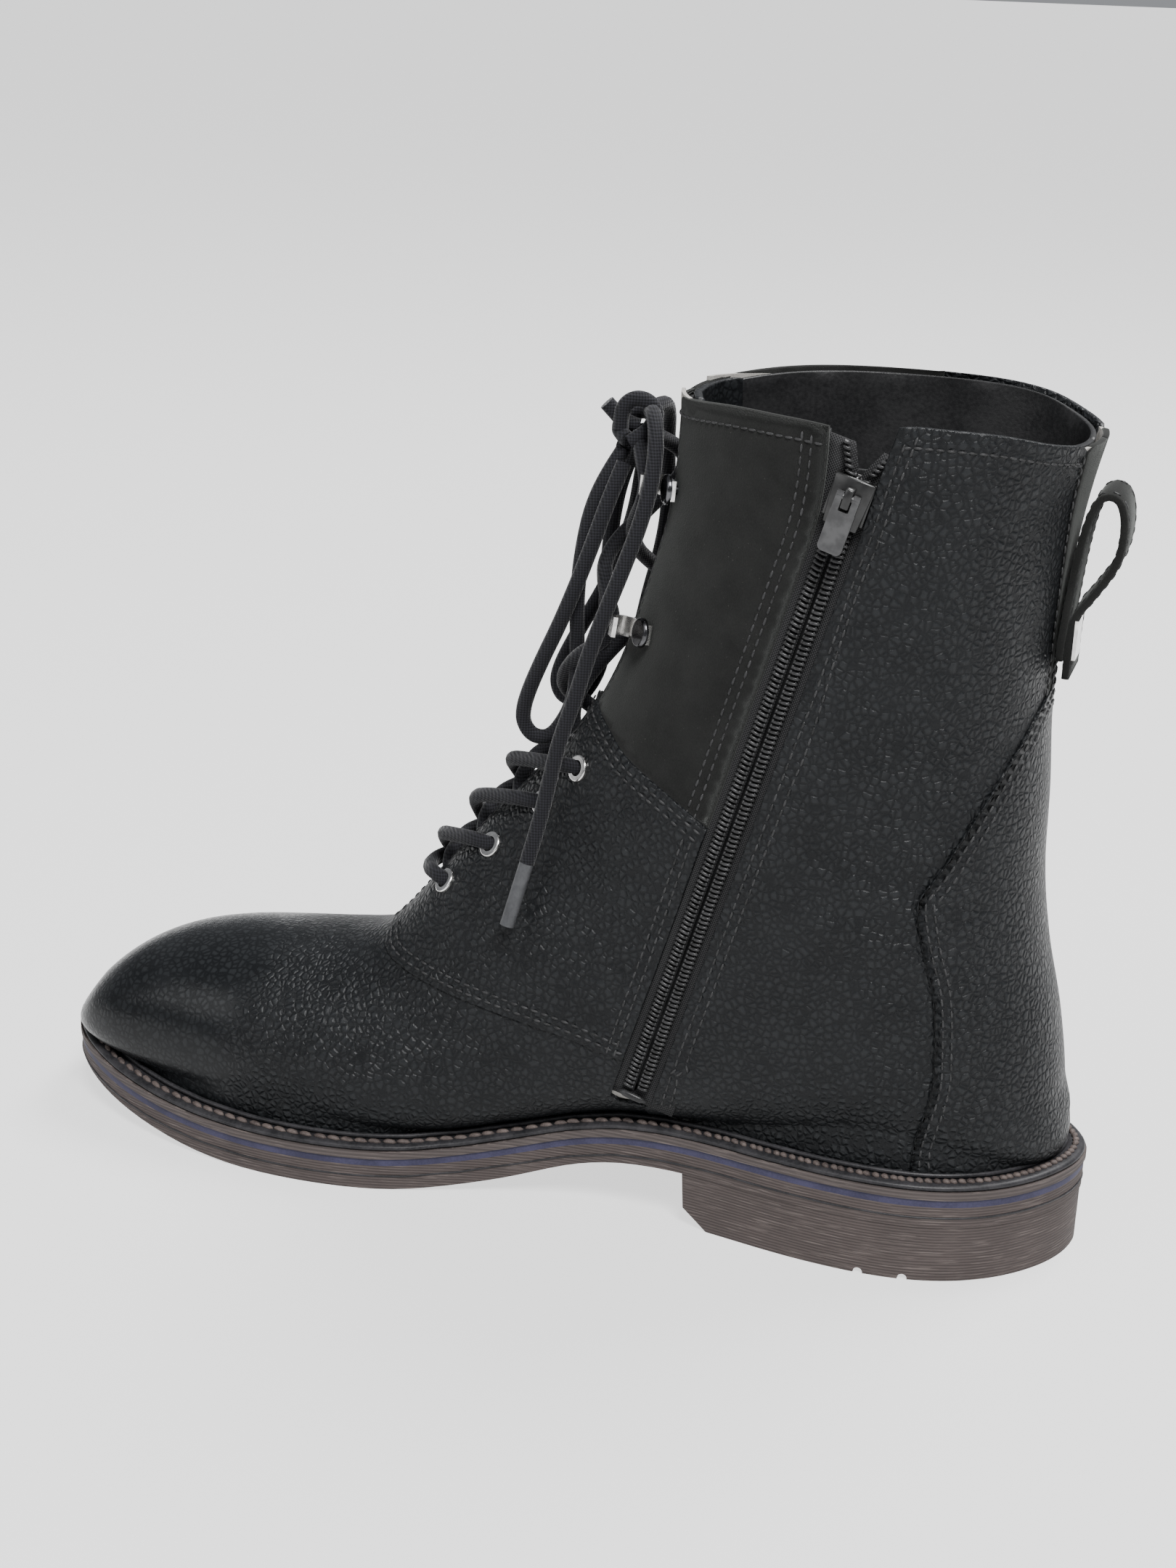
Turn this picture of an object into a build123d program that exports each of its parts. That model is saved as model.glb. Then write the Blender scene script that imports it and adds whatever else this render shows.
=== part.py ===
"""Lace-up ankle boot with an inside zip, right foot.

Toe towards -X, inside of the foot (the zip side) towards -Y, up +Z, millimetres.
Each node is one piece of the real boot and is written as its own STEP file.
"""
import math
import os

from build123d import *

# ---------------------------------------------------------------- sizes
LEATHER = 1.8            # outer leather thickness
MID_DEPTH = 2.8          # depth of the stiffener layer's inner face
LINING_DEPTH = 3.8       # depth of the lining's inner face
TONGUE_DEPTH = 6.2       # depth of the tongue's inner face
SECTION_POINTS = 24      # points on one section of the upper
STRIPE = 2.2             # navy stripe of the sole
BAND = 2.2               # band above the stripe
WELT = 1.6               # welt strip
TOP_FRONT = (20.0, 227.5)    # x, z of the top line at the front
TOP_BACK = (145.0, 221.5)    # x, z of the top line at the back
ZIP_LOW = (32.5, -33.6, 38.0)    # lower end of the straight zip track
ZIP_HIGH = (83.5, -43.9, 215.0)  # the track's point beside the closed slider
COIL_WIDTH = 7.6         # width of the two coils together
SLOT_HALF = 6.0          # half width of the opening in the leather
SLIDER_HALF = 5.2        # half width of the slider
EYELET_HOLE = 2.2        # radius of an eyelet's hole
EYELET_RIM = 3.7         # radius of an eyelet's rim
LACE_RADIUS = 2.1        # radius of the round laces
AGLET_RADIUS = 2.0       # radius of a lace end's sleeve
HEEL_LIFT = 6.0          # thickness of the heel's wearing layer
BREAST_X = 47.0          # front face of the heel

# Each row is a section of the upper, cut by a plane that holds the front point and the back point:
# front x, front z, back x, back z, inner side y, outer side y, front y, back y,
# place of the widest point, roundness of the front half, roundness of the back half.
SECTIONS = [
    (28.0, 234.0, 138.0, 234.0, -46.5, 43.5, 0.0, 2.0, 0.56, 2.3, 2.3),
    (27.5, 212.0, 133.5, 212.0, -45.3, 42.5, 0.0, 2.0, 0.55, 2.3, 2.3),
    (26.0, 196.0, 131.0, 193.0, -44.2, 41.5, 0.0, 2.0, 0.54, 2.3, 2.3),
    (22.0, 178.0, 129.3, 172.0, -43.0, 40.5, 0.0, 2.0, 0.53, 2.3, 2.3),
    (17.0, 160.0, 128.7, 150.0, -41.9, 39.5, 0.0, 2.0, 0.52, 2.3, 2.3),
    (11.5, 147.0, 130.3, 128.0, -41.0, 38.8, 0.0, 2.0, 0.52, 2.3, 2.3),
    (5.0, 135.5, 131.3, 106.0, -40.4, 38.2, 0.0, 2.0, 0.52, 2.3, 2.3),
    (-2.0, 126.0, 134.5, 86.0, -40.0, 38.0, 0.0, 2.0, 0.53, 2.25, 2.3),
    (-8.5, 117.5, 139.5, 66.0, -38.6, 36.8, -1.0, 2.0, 0.54, 2.3, 2.35),
    (-14.5, 110.0, 142.8, 46.0, -37.4, 36.2, -2.5, 2.0, 0.57, 2.35, 2.35),
    (-19.5, 104.0, 143.5, 28.0, -36.6, 35.8, -3.5, 2.0, 0.60, 2.45, 2.3),
    (-24.0, 98.0, 115.0, 26.5, -36.2, 36.0, -4.0, 2.0, 0.63, 2.5, 2.5),
    (-29.5, 91.0, 85.0, 26.5, -35.9, 36.8, -4.5, 2.0, 0.65, 2.5, 2.7),
    (-35.0, 84.0, 55.0, 26.2, -35.8, 38.6, -5.0, 2.5, 0.68, 2.4, 2.8),
    (-40.5, 77.0, 28.0, 24.2, -36.2, 41.2, -5.5, 3.0, 0.70, 2.2, 2.9),
    (-46.0, 70.5, 3.0, 18.3, -38.2, 45.5, -6.0, 3.5, 0.73, 2.0, 3.1),
    (-53.0, 64.5, -20.0, 12.8, -41.5, 49.5, -6.0, 4.0, 0.75, 1.95, 3.3),
    (-62.0, 60.8, -42.0, 11.4, -43.8, 51.5, -6.0, 3.0, 0.76, 2.0, 3.4),
    (-75.0, 58.7, -62.0, 11.4, -43.8, 51.0, -7.0, 2.0, 0.76, 2.0, 3.4),
    (-90.0, 57.0, -82.0, 11.8, -42.5, 48.0, -8.0, 0.0, 0.75, 2.0, 3.4),
    (-104.0, 55.5, -100.0, 13.0, -40.3, 42.5, -9.0, -2.0, 0.74, 2.0, 3.4),
    (-117.0, 52.5, -116.0, 14.5, -37.5, 35.5, -10.0, -4.0, 0.72, 2.0, 3.3),
    (-128.0, 47.5, -129.0, 16.5, -34.5, 27.0, -11.0, -6.0, 0.70, 2.0, 3.2),
    (-137.0, 40.5, -138.0, 18.5, -30.5, 17.0, -12.0, -9.0, 0.66, 2.0, 3.0),
    (-143.0, 32.5, -143.5, 19.8, -25.5, 6.0, -13.0, -11.0, 0.60, 2.1, 2.6),
    (-145.8, 27.5, -146.0, 21.5, -21.0, -3.0, -13.0, -12.0, 0.52, 2.1, 2.2),
]

# Plan outline of the sole, from the back of the heel along the inner side to the toe and back.
SOLE_OUTLINE = [
    (151.0, 3.0), (148.2, -8.0), (140.0, -20.5), (128.0, -30.5), (112.0, -36.8), (92.0, -38.3),
    (72.0, -36.3), (50.0, -32.6), (27.0, -31.3), (3.0, -33.5), (-17.0, -38.5), (-38.0, -45.5),
    (-60.0, -49.0), (-82.0, -48.4), (-104.0, -44.0), (-124.0, -36.5), (-139.0, -27.0),
    (-148.0, -16.0), (-149.5, -4.0), (-143.5, 8.5), (-132.0, 21.0), (-117.0, 33.5), (-98.0, 45.5),
    (-76.0, 54.0), (-52.0, 57.5), (-26.0, 54.7), (2.0, 48.2), (30.0, 42.5), (60.0, 39.2),
    (88.0, 38.6), (110.0, 37.5), (128.0, 32.0), (141.0, 22.0), (148.8, 12.0),
]

# Underside of the outsole and its upper face, x and z.
SOLE_BOTTOM = [(-152.0, 14.5), (-140.0, 10.0), (-125.0, 6.2), (-110.0, 3.4), (-95.0, 1.3), (-78.0, 0.2),
               (-60.0, 0.0), (-45.0, 0.0), (-30.0, 0.5), (-16.0, 2.5), (0.0, 6.7), (13.5, 11.6),
               (27.0, 14.8), (40.0, 15.9), (60.0, 16.2), (100.0, 16.2), (153.0, 16.2)]
SOLE_TOP = [(-152.0, 17.2), (-140.0, 14.2), (-125.0, 11.4), (-110.0, 9.4), (-95.0, 8.1), (-78.0, 7.4),
            (-60.0, 7.2), (-45.0, 7.2), (-30.0, 7.8), (-16.0, 9.7), (0.0, 13.6), (13.5, 17.7),
            (27.0, 20.6), (40.0, 21.8), (60.0, 22.3), (100.0, 22.3), (153.0, 22.3)]

# Seams of the upper, x and z.
VAMP_SEAM = [(-48.0, 66.5), (-43.0, 63.2), (-25.7, 59.7), (-5.9, 56.2), (12.9, 52.9), (26.0, 49.5)]
QUARTER_TOP = [(5.0, 145.0), (17.5, 138.6), (25.3, 133.0), (37.9, 126.6), (62.0, 112.0)]
COUNTER_SEAM = [(132.0, 168.0), (126.4, 150.7), (118.7, 132.6), (109.9, 114.6), (105.8, 107.8),
                (105.5, 103.0), (108.0, 91.8), (111.3, 79.8), (112.7, 65.4), (112.7, 51.9), (107.0, 30.0),
                (105.0, 10.0)]

# Eyelets and hook rivets of the inner side; the outer side mirrors them.
EYELETS = [(-25.9, -16.6, 82.7), (-12.9, -16.6, 96.0), (2.0, -18.6, 112.0), (12.0, -22.0, 124.8)]
HOOKS = [(28.0, -26.0, 165.6), (32.0, -22.5, 203.0)]
THROAT_HALF = [(6.0, 60.0), (6.5, 100.0), (9.0, 150.0), (11.0, 240.0)]

# The middle of the boot's box on the ground, in the coordinates used by the tables above.
ORIGIN = Vector(0.63, 4.14, -0.01)

os.makedirs("parts", exist_ok=True)


def keep(name, shape):
    """Moves one node to the shared origin and writes its largest solids, so a cut leaves no crumbs."""
    solids = sorted(shape.solids(), key=lambda item: -item.volume)
    floor = 0.002 * solids[0].volume
    solids = [item for item in solids if item.volume > floor]
    body = solids[0] if len(solids) == 1 else Compound(solids)
    export_step(body.moved(Location(-ORIGIN)), "parts/" + name + ".step")
    print(name, len(solids), round(body.volume))


# ---------------------------------------------------------------- upper surface
def lerp(a, b, t):
    return a + (b - a) * t


def section_points(row, inset):
    """Points round one section, set in from the outer face by the given depth."""
    fx, fz, bx, bz, inner, outer, fy, by, widest, nf, nb = row
    length = math.hypot(bx - fx, bz - fz)
    middle = lerp(fy, by, widest)
    depth_t = min(inset, 0.36 * length) / length
    in_w = (middle - inner) - min(inset, 0.5 * (middle - inner))
    out_w = (outer - middle) - min(inset, 0.5 * (outer - middle))
    points = []
    for k in range(SECTION_POINTS):
        phi = 2 * math.pi * k / SECTION_POINTS
        c, s = math.cos(phi), math.sin(phi)
        n = nf if c > 0 else nb
        reach = (widest if c > 0 else 1 - widest) - depth_t
        t = widest - math.copysign(abs(c) ** (2 / n), c) * reach
        side = math.copysign(abs(s) ** (2 / n), s)
        y = lerp(fy, by, t) - side * (in_w if s > 0 else out_w)
        points.append((lerp(fx, bx, t), y, lerp(fz, bz, t)))
    return points


def toe_shift(index, inset, last):
    """How far a toe section moves back so the toe wall keeps its thickness."""
    return inset * {0: 1.0, 1: 0.7, 2: 0.3}.get(last - index, 0.0)


def upper_solid(inset, rows=None):
    """The space inside the upper's face, set in by the given depth."""
    rows = SECTIONS if rows is None else rows
    last = len(SECTIONS) - 1
    marks = [k / SECTION_POINTS for k in range(SECTION_POINTS + 1)]
    faces = []
    for index, row in enumerate(rows):
        shift = toe_shift(index, inset, last)
        points = [(x + shift, y, z) for x, y, z in section_points(row, inset)]
        edge = Edge.make_spline([*points, points[0]], parameters=marks)
        faces.append(Wire([edge]))
    return Solid.make_loft(faces, False)


def face_y(x, z, inset=0.0):
    """The inner side's y at a place on the side of the boot."""
    best = None
    for k in range(len(SECTIONS) - 1):
        for step in range(12):
            f = step / 12
            row = [lerp(p, q, f) for p, q in zip(SECTIONS[k], SECTIONS[k + 1])]
            fx, fz, bx, bz, inner, outer, fy, by, widest, nf, nb = row
            length = math.hypot(bx - fx, bz - fz)
            t = ((x - fx) * (bx - fx) + (z - fz) * (bz - fz)) / length ** 2
            miss = math.hypot(x - lerp(fx, bx, t), z - lerp(fz, bz, t))
            if 0.0 < t < 1.0 and (best is None or miss < best[0]):
                u = (widest - t) / widest if t < widest else (t - widest) / (1 - widest)
                n = nf if t < widest else nb
                w = (1 - u ** n) ** (1 / n)
                best = (miss, lerp(fy, by, t) - w * (lerp(fy, by, widest) - inner - inset))
    return best[1]


def prism_xz(points, y0, y1):
    """A flat outline in the side view, pulled from y0 to y1."""
    outline = Polyline(*[(x, 0, z) for x, z in points], close=True)
    face = Face(Wire(outline.edges()))
    return Solid.extrude(face.moved(Location((0, y0, 0))), Vector(0, y1 - y0, 0))


def prism_yz(points, x0, x1):
    """A flat outline in the front view, pulled from x0 to x1."""
    outline = Polyline(*[(0, y, z) for y, z in points], close=True)
    face = Face(Wire(outline.edges()))
    return Solid.extrude(face.moved(Location((x0, 0, 0))), Vector(x1 - x0, 0, 0))


def layer(lower, upper, low_add, high_add):
    """The space between two side-view curves, right across the boot."""
    low = Spline(*[(x, -80, z + low_add) for x, z in lower])
    high = Spline(*[(x, -80, z + high_add) for x, z in upper])
    ends = [Line(low @ 0, high @ 0), Line(low @ 1, high @ 1)]
    face = Face(Wire([low.edge(), ends[0].edge(), high.edge(), ends[1].edge()]))
    return Solid.extrude(face, Vector(0, 160, 0))


def outline_points(inset):
    """The sole's plan outline moved inwards."""
    count = len(SOLE_OUTLINE)
    points = []
    for k in range(count):
        ax, ay = SOLE_OUTLINE[k - 1]
        bx, by = SOLE_OUTLINE[(k + 1) % count]
        length = math.hypot(bx - ax, by - ay)
        nx, ny = (by - ay) / length, -(bx - ax) / length
        x, y = SOLE_OUTLINE[k]
        points.append((x + inset * nx, y + inset * ny))
    return points


def plan(inset, z0=-5.0, z1=60.0):
    """The sole's plan outline as an upright block."""
    edge = Spline(*[(x, y, z0) for x, y in outline_points(inset)], periodic=True)
    return Solid.extrude(Face(Wire([edge])), Vector(0, 0, z1 - z0))


def box_between(x0, x1, y0, y1, z0, z1):
    return Solid.make_box(x1 - x0, y1 - y0, z1 - z0).moved(Location((x0, y0, z0)))


def tube(name, points, radius):
    """A round cord along straight runs joined by the largest arcs that the runs allow."""
    radii = []
    for p, q, r in zip(points, points[1:], points[2:]):
        before, after = Vector(*q) - Vector(*p), Vector(*r) - Vector(*q)
        turn = math.radians(before.get_angle(after))
        radii.append(0.45 * min(before.length, after.length) / math.tan(turn / 2))
    path = FilletPolyline(*points, radius=radii).wire()
    plane = Plane(origin=points[0], z_dir=Vector(*points[1]) - Vector(*points[0]))
    ring = Face(Wire([Edge.make_circle(radius, plane)]))
    body = Solid.sweep(ring, path)
    share = body.volume / (math.pi * radius ** 2 * path.length)
    print(name, "length", round(path.length, 1), "least radius", round(min(radii), 1), "volume share", round(share, 3))
    return body


def rail(points, half, y0, y1):
    """A flat strap seen edge-on in the side view, of the given half thickness."""
    sides = []
    for sign in (1, -1):
        row = []
        for k, (x, z) in enumerate(points):
            ax, az = points[max(k - 1, 0)]
            bx, bz = points[min(k + 1, len(points) - 1)]
            length = math.hypot(bx - ax, bz - az)
            row.append((x - sign * half * (bz - az) / length, y0, z + sign * half * (bx - ax) / length))
        sides.append(row)
    first, second = Spline(*sides[0]), Spline(*sides[1])
    ends = [Line(first @ 0, second @ 0), Line(first @ 1, second @ 1)]
    face = Face(Wire([first.edge(), ends[0].edge(), second.edge(), ends[1].edge()]))
    return Solid.extrude(face, Vector(0, y1 - y0, 0))


def row_at(place):
    """The section at a place between two rows."""
    k = min(int(place), len(SECTIONS) - 2)
    return [lerp(p, q, place - k) for p, q in zip(SECTIONS[k], SECTIONS[k + 1])]


def face_at(place, phi, inset=0.0):
    """A point of the upper's face at a section and an angle round it."""
    fx, fz, bx, bz, inner, outer, fy, by, widest, nf, nb = row_at(place)
    length = math.hypot(bx - fx, bz - fz)
    c, s = math.cos(phi), math.sin(phi)
    n = nf if c > 0 else nb
    middle = lerp(fy, by, widest)
    reach = (widest if c > 0 else 1 - widest) - inset / length
    t = widest - math.copysign(abs(c) ** (2 / n), c) * reach
    side = math.copysign(abs(s) ** (2 / n), s)
    y = lerp(fy, by, t) - side * ((middle - inner if s > 0 else outer - middle) - inset)
    return Vector(lerp(fx, bx, t), y, lerp(fz, bz, t))


def seat(target):
    """The nearest place on the face to a target, with the outward normal there."""
    goal = Vector(*target)
    place, phi, step_p, step_a = 0.0, 0.0, 0.5, 0.1
    best = min(((face_at(0.5 * i, 0.1 * j) - goal).length, 0.5 * i, 0.1 * j) for i in range(50) for j in range(63))
    place, phi = best[1], best[2]
    for _ in range(14):
        step_p, step_a = step_p * 0.6, step_a * 0.6
        tries = [(place + a * step_p, phi + b * step_a) for a in (-1, 0, 1) for b in (-1, 0, 1)]
        tries = [item for item in tries if 0 <= item[0] <= 24.9]
        place, phi = min(tries, key=lambda item: (face_at(*item) - goal).length)
    here = face_at(place, phi)
    along = face_at(place + 0.05, phi) - here
    round_ = face_at(place, phi + 0.01) - here
    normal = along.cross(round_).normalized()
    centre = Vector(60, 0, here.Z) if here.Z > 70 else Vector(here.X, 0, 35)
    if normal.dot(here - centre) < 0:
        normal = normal * -1
    return here, normal


def mirrored(point):
    """The matching place on the outer side."""
    return Vector(point.X, 2.0 - point.Y, point.Z)


# ---------------------------------------------------------------- zip frame
ZIP_RUN = Vector(*ZIP_HIGH) - Vector(*ZIP_LOW)
ZIP_UP = ZIP_RUN.normalized()
ZIP_SIDE = Vector(0, -1, 0).cross(ZIP_UP).normalized()
ZIP_OUT = ZIP_UP.cross(ZIP_SIDE).normalized()
if ZIP_OUT.Y > 0:
    ZIP_SIDE, ZIP_OUT = ZIP_SIDE * -1, ZIP_OUT * -1


def zip_point(height, side=0.0, out=0.0):
    """A place given by its height, sideways distance and distance out of the track."""
    f = (height - ZIP_LOW[2]) / (ZIP_HIGH[2] - ZIP_LOW[2])
    return Vector(*ZIP_LOW) + ZIP_RUN * f + ZIP_SIDE * side + ZIP_OUT * out


def zip_block(z0, z1, side0, side1, out0, out1):
    """A straight bar that lies along the zip track."""
    corners = [zip_point(z0, a, b) for a, b in ((side0, out0), (side1, out0), (side1, out1), (side0, out1))]
    face = Face(Wire(Polyline(*corners, close=True).edges()))
    return Solid.extrude(face, zip_point(z1) - zip_point(z0))


# ---------------------------------------------------------------- sole
whole_plan = plan(0.0)
tread = layer(SOLE_BOTTOM, SOLE_TOP, 0.0, 0.0) & whole_plan
tread_zone = plan(12.0)
for k in range(11):
    slot = box_between(-112 + 9 * k, -110.4 + 9 * k, -70, 70, -1, 15)
    tread -= (slot & tread_zone) & layer(SOLE_BOTTOM, SOLE_BOTTOM, -1.0, 1.2)
keep("outsole", tread)
stripe = layer(SOLE_TOP, SOLE_TOP, 0.0, STRIPE) & whole_plan
keep("sole_stripe", stripe)
band = layer(SOLE_TOP, SOLE_TOP, STRIPE, STRIPE + BAND) & plan(-0.4)
keep("midsole", band)

heel_side = [(BREAST_X, 16.6), (BREAST_X + 0.8, 5.6), (BREAST_X + 8.0, 0.0), (160, 0.0), (160, 16.6)]
heel = prism_xz(heel_side, -60, 60) & plan(0.3)
heel -= layer(SOLE_BOTTOM, SOLE_TOP, 0.0, 5.0)
lift = heel & box_between(0, 200, -60, 60, -1, HEEL_LIFT)
heel &= box_between(0, 200, -60, 60, HEEL_LIFT, 20)
nails = None
for x, y in ((66, -24), (66, 26), (128, -18), (128, 22), (97, 2)):
    nail = Solid.make_cylinder(1.1, 12.0, Plane((x, y, 2.5)))
    nails = nail if nails is None else nails + nail
heel -= nails
lift -= nails
for x in (98.6, 110.4):
    for y0 in (-50, 24):
        notch = Solid.make_cylinder(1.3, 28.0, Plane((x, y0, 0.2), z_dir=(0, 1, 0)))
        lift -= notch
keep("heel_block", heel)
keep("heel_top_lift", lift)
keep("heel_nails", nails)

upper_outer = upper_solid(0.0)
leather_inner = upper_solid(LEATHER)
mid_inner = upper_solid(MID_DEPTH)
lining_inner = upper_solid(LINING_DEPTH)
tongue_inner = upper_solid(TONGUE_DEPTH, SECTIONS[:20])

base = STRIPE + BAND
keep("welt", (layer(SOLE_TOP, SOLE_TOP, base, base + WELT) & plan(0.0)) - plan(13.9))
keep("welt_stitching", (layer(SOLE_TOP, SOLE_TOP, base + WELT, base + WELT + 0.9) & plan(1.3)) - plan(3.2))
keep("rand", (layer(SOLE_TOP, SOLE_TOP, base + WELT, base + WELT + 1.3) & plan(4.3)) - plan(5.7))

# ---------------------------------------------------------------- inside the sole
seat_low = base + 2.0
board_zone = plan(14.0)
board = layer(SOLE_TOP, SOLE_TOP, seat_low, seat_low + 2.4) & board_zone
filler_zone = layer(SOLE_TOP, SOLE_TOP, base + 0.1, seat_low - 0.02) & plan(14.3)
shank_zone = layer(SOLE_TOP, SOLE_TOP, base + 0.3, base + 1.8) & box_between(-22, 88, -6.5, 8.5, 0, 60)
keep("insole_board", board)
keep("shank", shank_zone)
keep("cork_filler", filler_zone - box_between(-22.2, 88.2, -6.7, 8.7, 0, 60))

# ---------------------------------------------------------------- layers of the upper
top_cut = prism_xz([(-40, 223.2), TOP_FRONT, TOP_BACK, (190, 221.0), (190, 260), (-40, 260)], -90, 90)
below = layer(SOLE_TOP, SOLE_TOP, -40.0, base + WELT + 0.05)
floor_cut = layer(SOLE_TOP, SOLE_TOP, -40.0, seat_low + 2.45) & board_zone
gap_line = [(-half, z) for half, z in THROAT_HALF] + [(half, z) for half, z in reversed(THROAT_HALF)]
throat = prism_yz([(y + 0.5, z) for y, z in gap_line], -80, 70)
throat &= prism_xz([(-49, 66.0), (-30, 66.0), (-10, 92), (60, 145), (60, 260), (-90, 260), (-90, 66.0)], -60, 60)
slot_low = zip_block(36.0, 236.0, -SLOT_HALF, SLOT_HALF, -9.0, 12.0)
slot_wide = prism_xz([(73.8, 196), (86.6, 196), (93.0, 236), (75.6, 236)], -70, 0)


def wall(outer, inner):
    shell = outer - inner
    return ((shell - top_cut) - below) - floor_cut


leather = (wall(upper_outer, leather_inner) - throat) - slot_low - slot_wide
middle = (wall(leather_inner, mid_inner) - throat) - slot_low - slot_wide
lining = (wall(mid_inner, lining_inner) - throat) - zip_block(34.0, 236.0, -7.0, 7.0, -9.0, 12.0) - slot_wide

coil_zone_low, coil_zone_high = 39.0, 216.0
tape_front = zip_block(36.2, 222.5, -12.0, -0.65, -1.2, -0.6)
tape_rear = zip_block(36.2, 222.5, 0.65, 12.0, -1.2, -0.6)
tape_room = zip_block(36.0, 236.0, -12.1, 12.1, -1.3, -0.5)
leather -= tape_room
middle -= tape_room
lining -= tape_room

# ---------------------------------------------------------------- eyelets and hooks
inner_eyelets, outer_eyelets, punches = [], [], []
inner_hooks, outer_hooks, inner_caps, outer_caps = [], [], [], []


def ring_at(point, normal):
    """A rolled eyelet with its barrel through the leather."""
    plane = Plane(point + normal * -3.4, z_dir=normal)
    barrel = Solid.make_cylinder(EYELET_HOLE + 0.45, 3.5, plane)
    rim = Solid.make_cylinder(EYELET_RIM, 0.95, Plane(point + normal * 0.03, z_dir=normal))
    rim = rim.fillet(0.42, [rim.edges().sort_by(Axis(point, normal))[-1]])
    return (barrel + rim) - Solid.make_cylinder(EYELET_HOLE, 8.0, Plane(point + normal * -4, z_dir=normal))


def punch_at(point, normal, radius):
    return Solid.make_cylinder(radius, 9.0, Plane(point + normal * -5.5, z_dir=normal))


def hook_at(point, normal, forward):
    """A speed hook: a strip that runs forward from its rivet and folds back over itself."""
    up = normal.cross(forward).normalized()
    ahead = up.cross(normal).normalized()
    if ahead.dot(forward) < 0:
        ahead = ahead * -1
    outline = [(-3.0, 0.05), (7.6, 0.05), (10.2, 2.2), (10.2, 4.6), (8.0, 6.8), (4.4, 7.6), (4.2, 6.5),
               (7.4, 5.8), (9.0, 4.2), (9.0, 2.7), (7.1, 1.15), (-3.0, 1.15)]
    corners = [point + ahead * a + normal * b - up * 2.6 for a, b in outline]
    face = Face(Wire(Polyline(*corners, close=True).edges()))
    return Solid.extrude(face, up * 5.2)


def cap_at(point, normal):
    cap = Solid.make_cylinder(3.9, 1.3, Plane(point + normal * 1.17, z_dir=normal))
    cap = cap.fillet(0.8, [cap.edges().sort_by(Axis(point, normal))[-1]])
    return cap + Solid.make_cylinder(1.2, 5.0, Plane(point + normal * -3.7, z_dir=normal))


for target in EYELETS:
    here, normal = seat(target)
    there, away = seat(tuple(mirrored(Vector(*target))))
    inner_eyelets.append(ring_at(here, normal))
    outer_eyelets.append(ring_at(there, away))
    punches += [punch_at(here, normal, EYELET_HOLE + 0.5), punch_at(there, away, EYELET_HOLE + 0.5)]
for target in HOOKS:
    here, normal = seat(target)
    there, away = seat(tuple(mirrored(Vector(*target))))
    inner_caps.append(cap_at(here, normal))
    outer_caps.append(cap_at(there, away))
    bore = punch_at(here, normal, 1.25)
    other = punch_at(there, away, 1.25)
    inner_hooks.append(hook_at(here, normal, Vector(-1, 0.6, 0)) - bore)
    outer_hooks.append(hook_at(there, away, Vector(-1, -0.6, 0)) - other)
    punches += [bore, other]
keep("eyelets_inner", Compound(inner_eyelets))
keep("eyelets_outer", Compound(outer_eyelets))
keep("hooks_inner", Compound(inner_hooks))
keep("hooks_outer", Compound(outer_hooks))
keep("hook_rivets", Compound(inner_caps + outer_caps))
leather = leather - punches
middle = middle - punches
lining = lining - punches

# ---------------------------------------------------------------- panels
FAR_LEFT, FAR_RIGHT = -180.0, 210.0
zip_foot, zip_cross, zip_head = (35.6, 48.6), (55.1, 116.5), (90.7, 240.0)
vamp_area = [(FAR_LEFT, 120), (-60, 120), (-52, 75)] + VAMP_SEAM + [zip_foot, (35.6, 0), (FAR_LEFT, 0)]
quarter_area = VAMP_SEAM + [zip_foot, zip_cross] + QUARTER_TOP[-2::-1] + [(-5, 150), (-70, 150), (-70, 76), (-52, 75)]
front_area = QUARTER_TOP[:-1] + [zip_cross, zip_head, (-70, 240), (-70, 150), (-5, 150)]
rear_area = [(35.6, 0), zip_foot, zip_head, (FAR_RIGHT, 240), (FAR_RIGHT, 168)] + COUNTER_SEAM + [(105, 0)]
counter_area = COUNTER_SEAM + [(105, 0), (FAR_RIGHT, 0), (FAR_RIGHT, 168)]
strip_area = [(-18, 240), (-12, 206), (-6, 181), (-4, 167), (-4, 145), (8, 145), (8, 167), (10, 181), (16, 206), (22, 240)]
strip_zone = prism_yz(strip_area, 100, FAR_RIGHT)
counter_zone = prism_xz(counter_area, -90, 90)
keep("vamp", leather & prism_xz(vamp_area, -90, 90))
keep("quarter_inner", leather & prism_xz(quarter_area, -90, 0.5))
keep("quarter_outer", leather & prism_xz(quarter_area, 0.5, 90))
keep("shaft_front_inner", leather & prism_xz(front_area, -90, 0.5))
keep("shaft_front_outer", leather & prism_xz(front_area, 0.5, 90))
keep("rear_quarter_inner", (leather & prism_xz(rear_area, -90, 2)) - strip_zone)
keep("rear_quarter_outer", (leather & prism_xz(rear_area, 2, 90)) - strip_zone)
keep("heel_counter", leather & counter_zone)
keep("back_strip", (leather & strip_zone) - counter_zone)

toe_zone = prism_xz([(FAR_LEFT, 120), (-96, 120), (-100, 0), (FAR_LEFT, 0)], -90, 90)
heel_zone = prism_xz([(98, 0), (100, 42), (113, 78), (150, 84), (FAR_RIGHT, 84), (FAR_RIGHT, 0)], -90, 90)
keep("toe_puff", middle & toe_zone)
keep("heel_stiffener", middle & heel_zone)
keep("interlining", (middle - toe_zone) - heel_zone)
keep("lining", lining)

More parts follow.
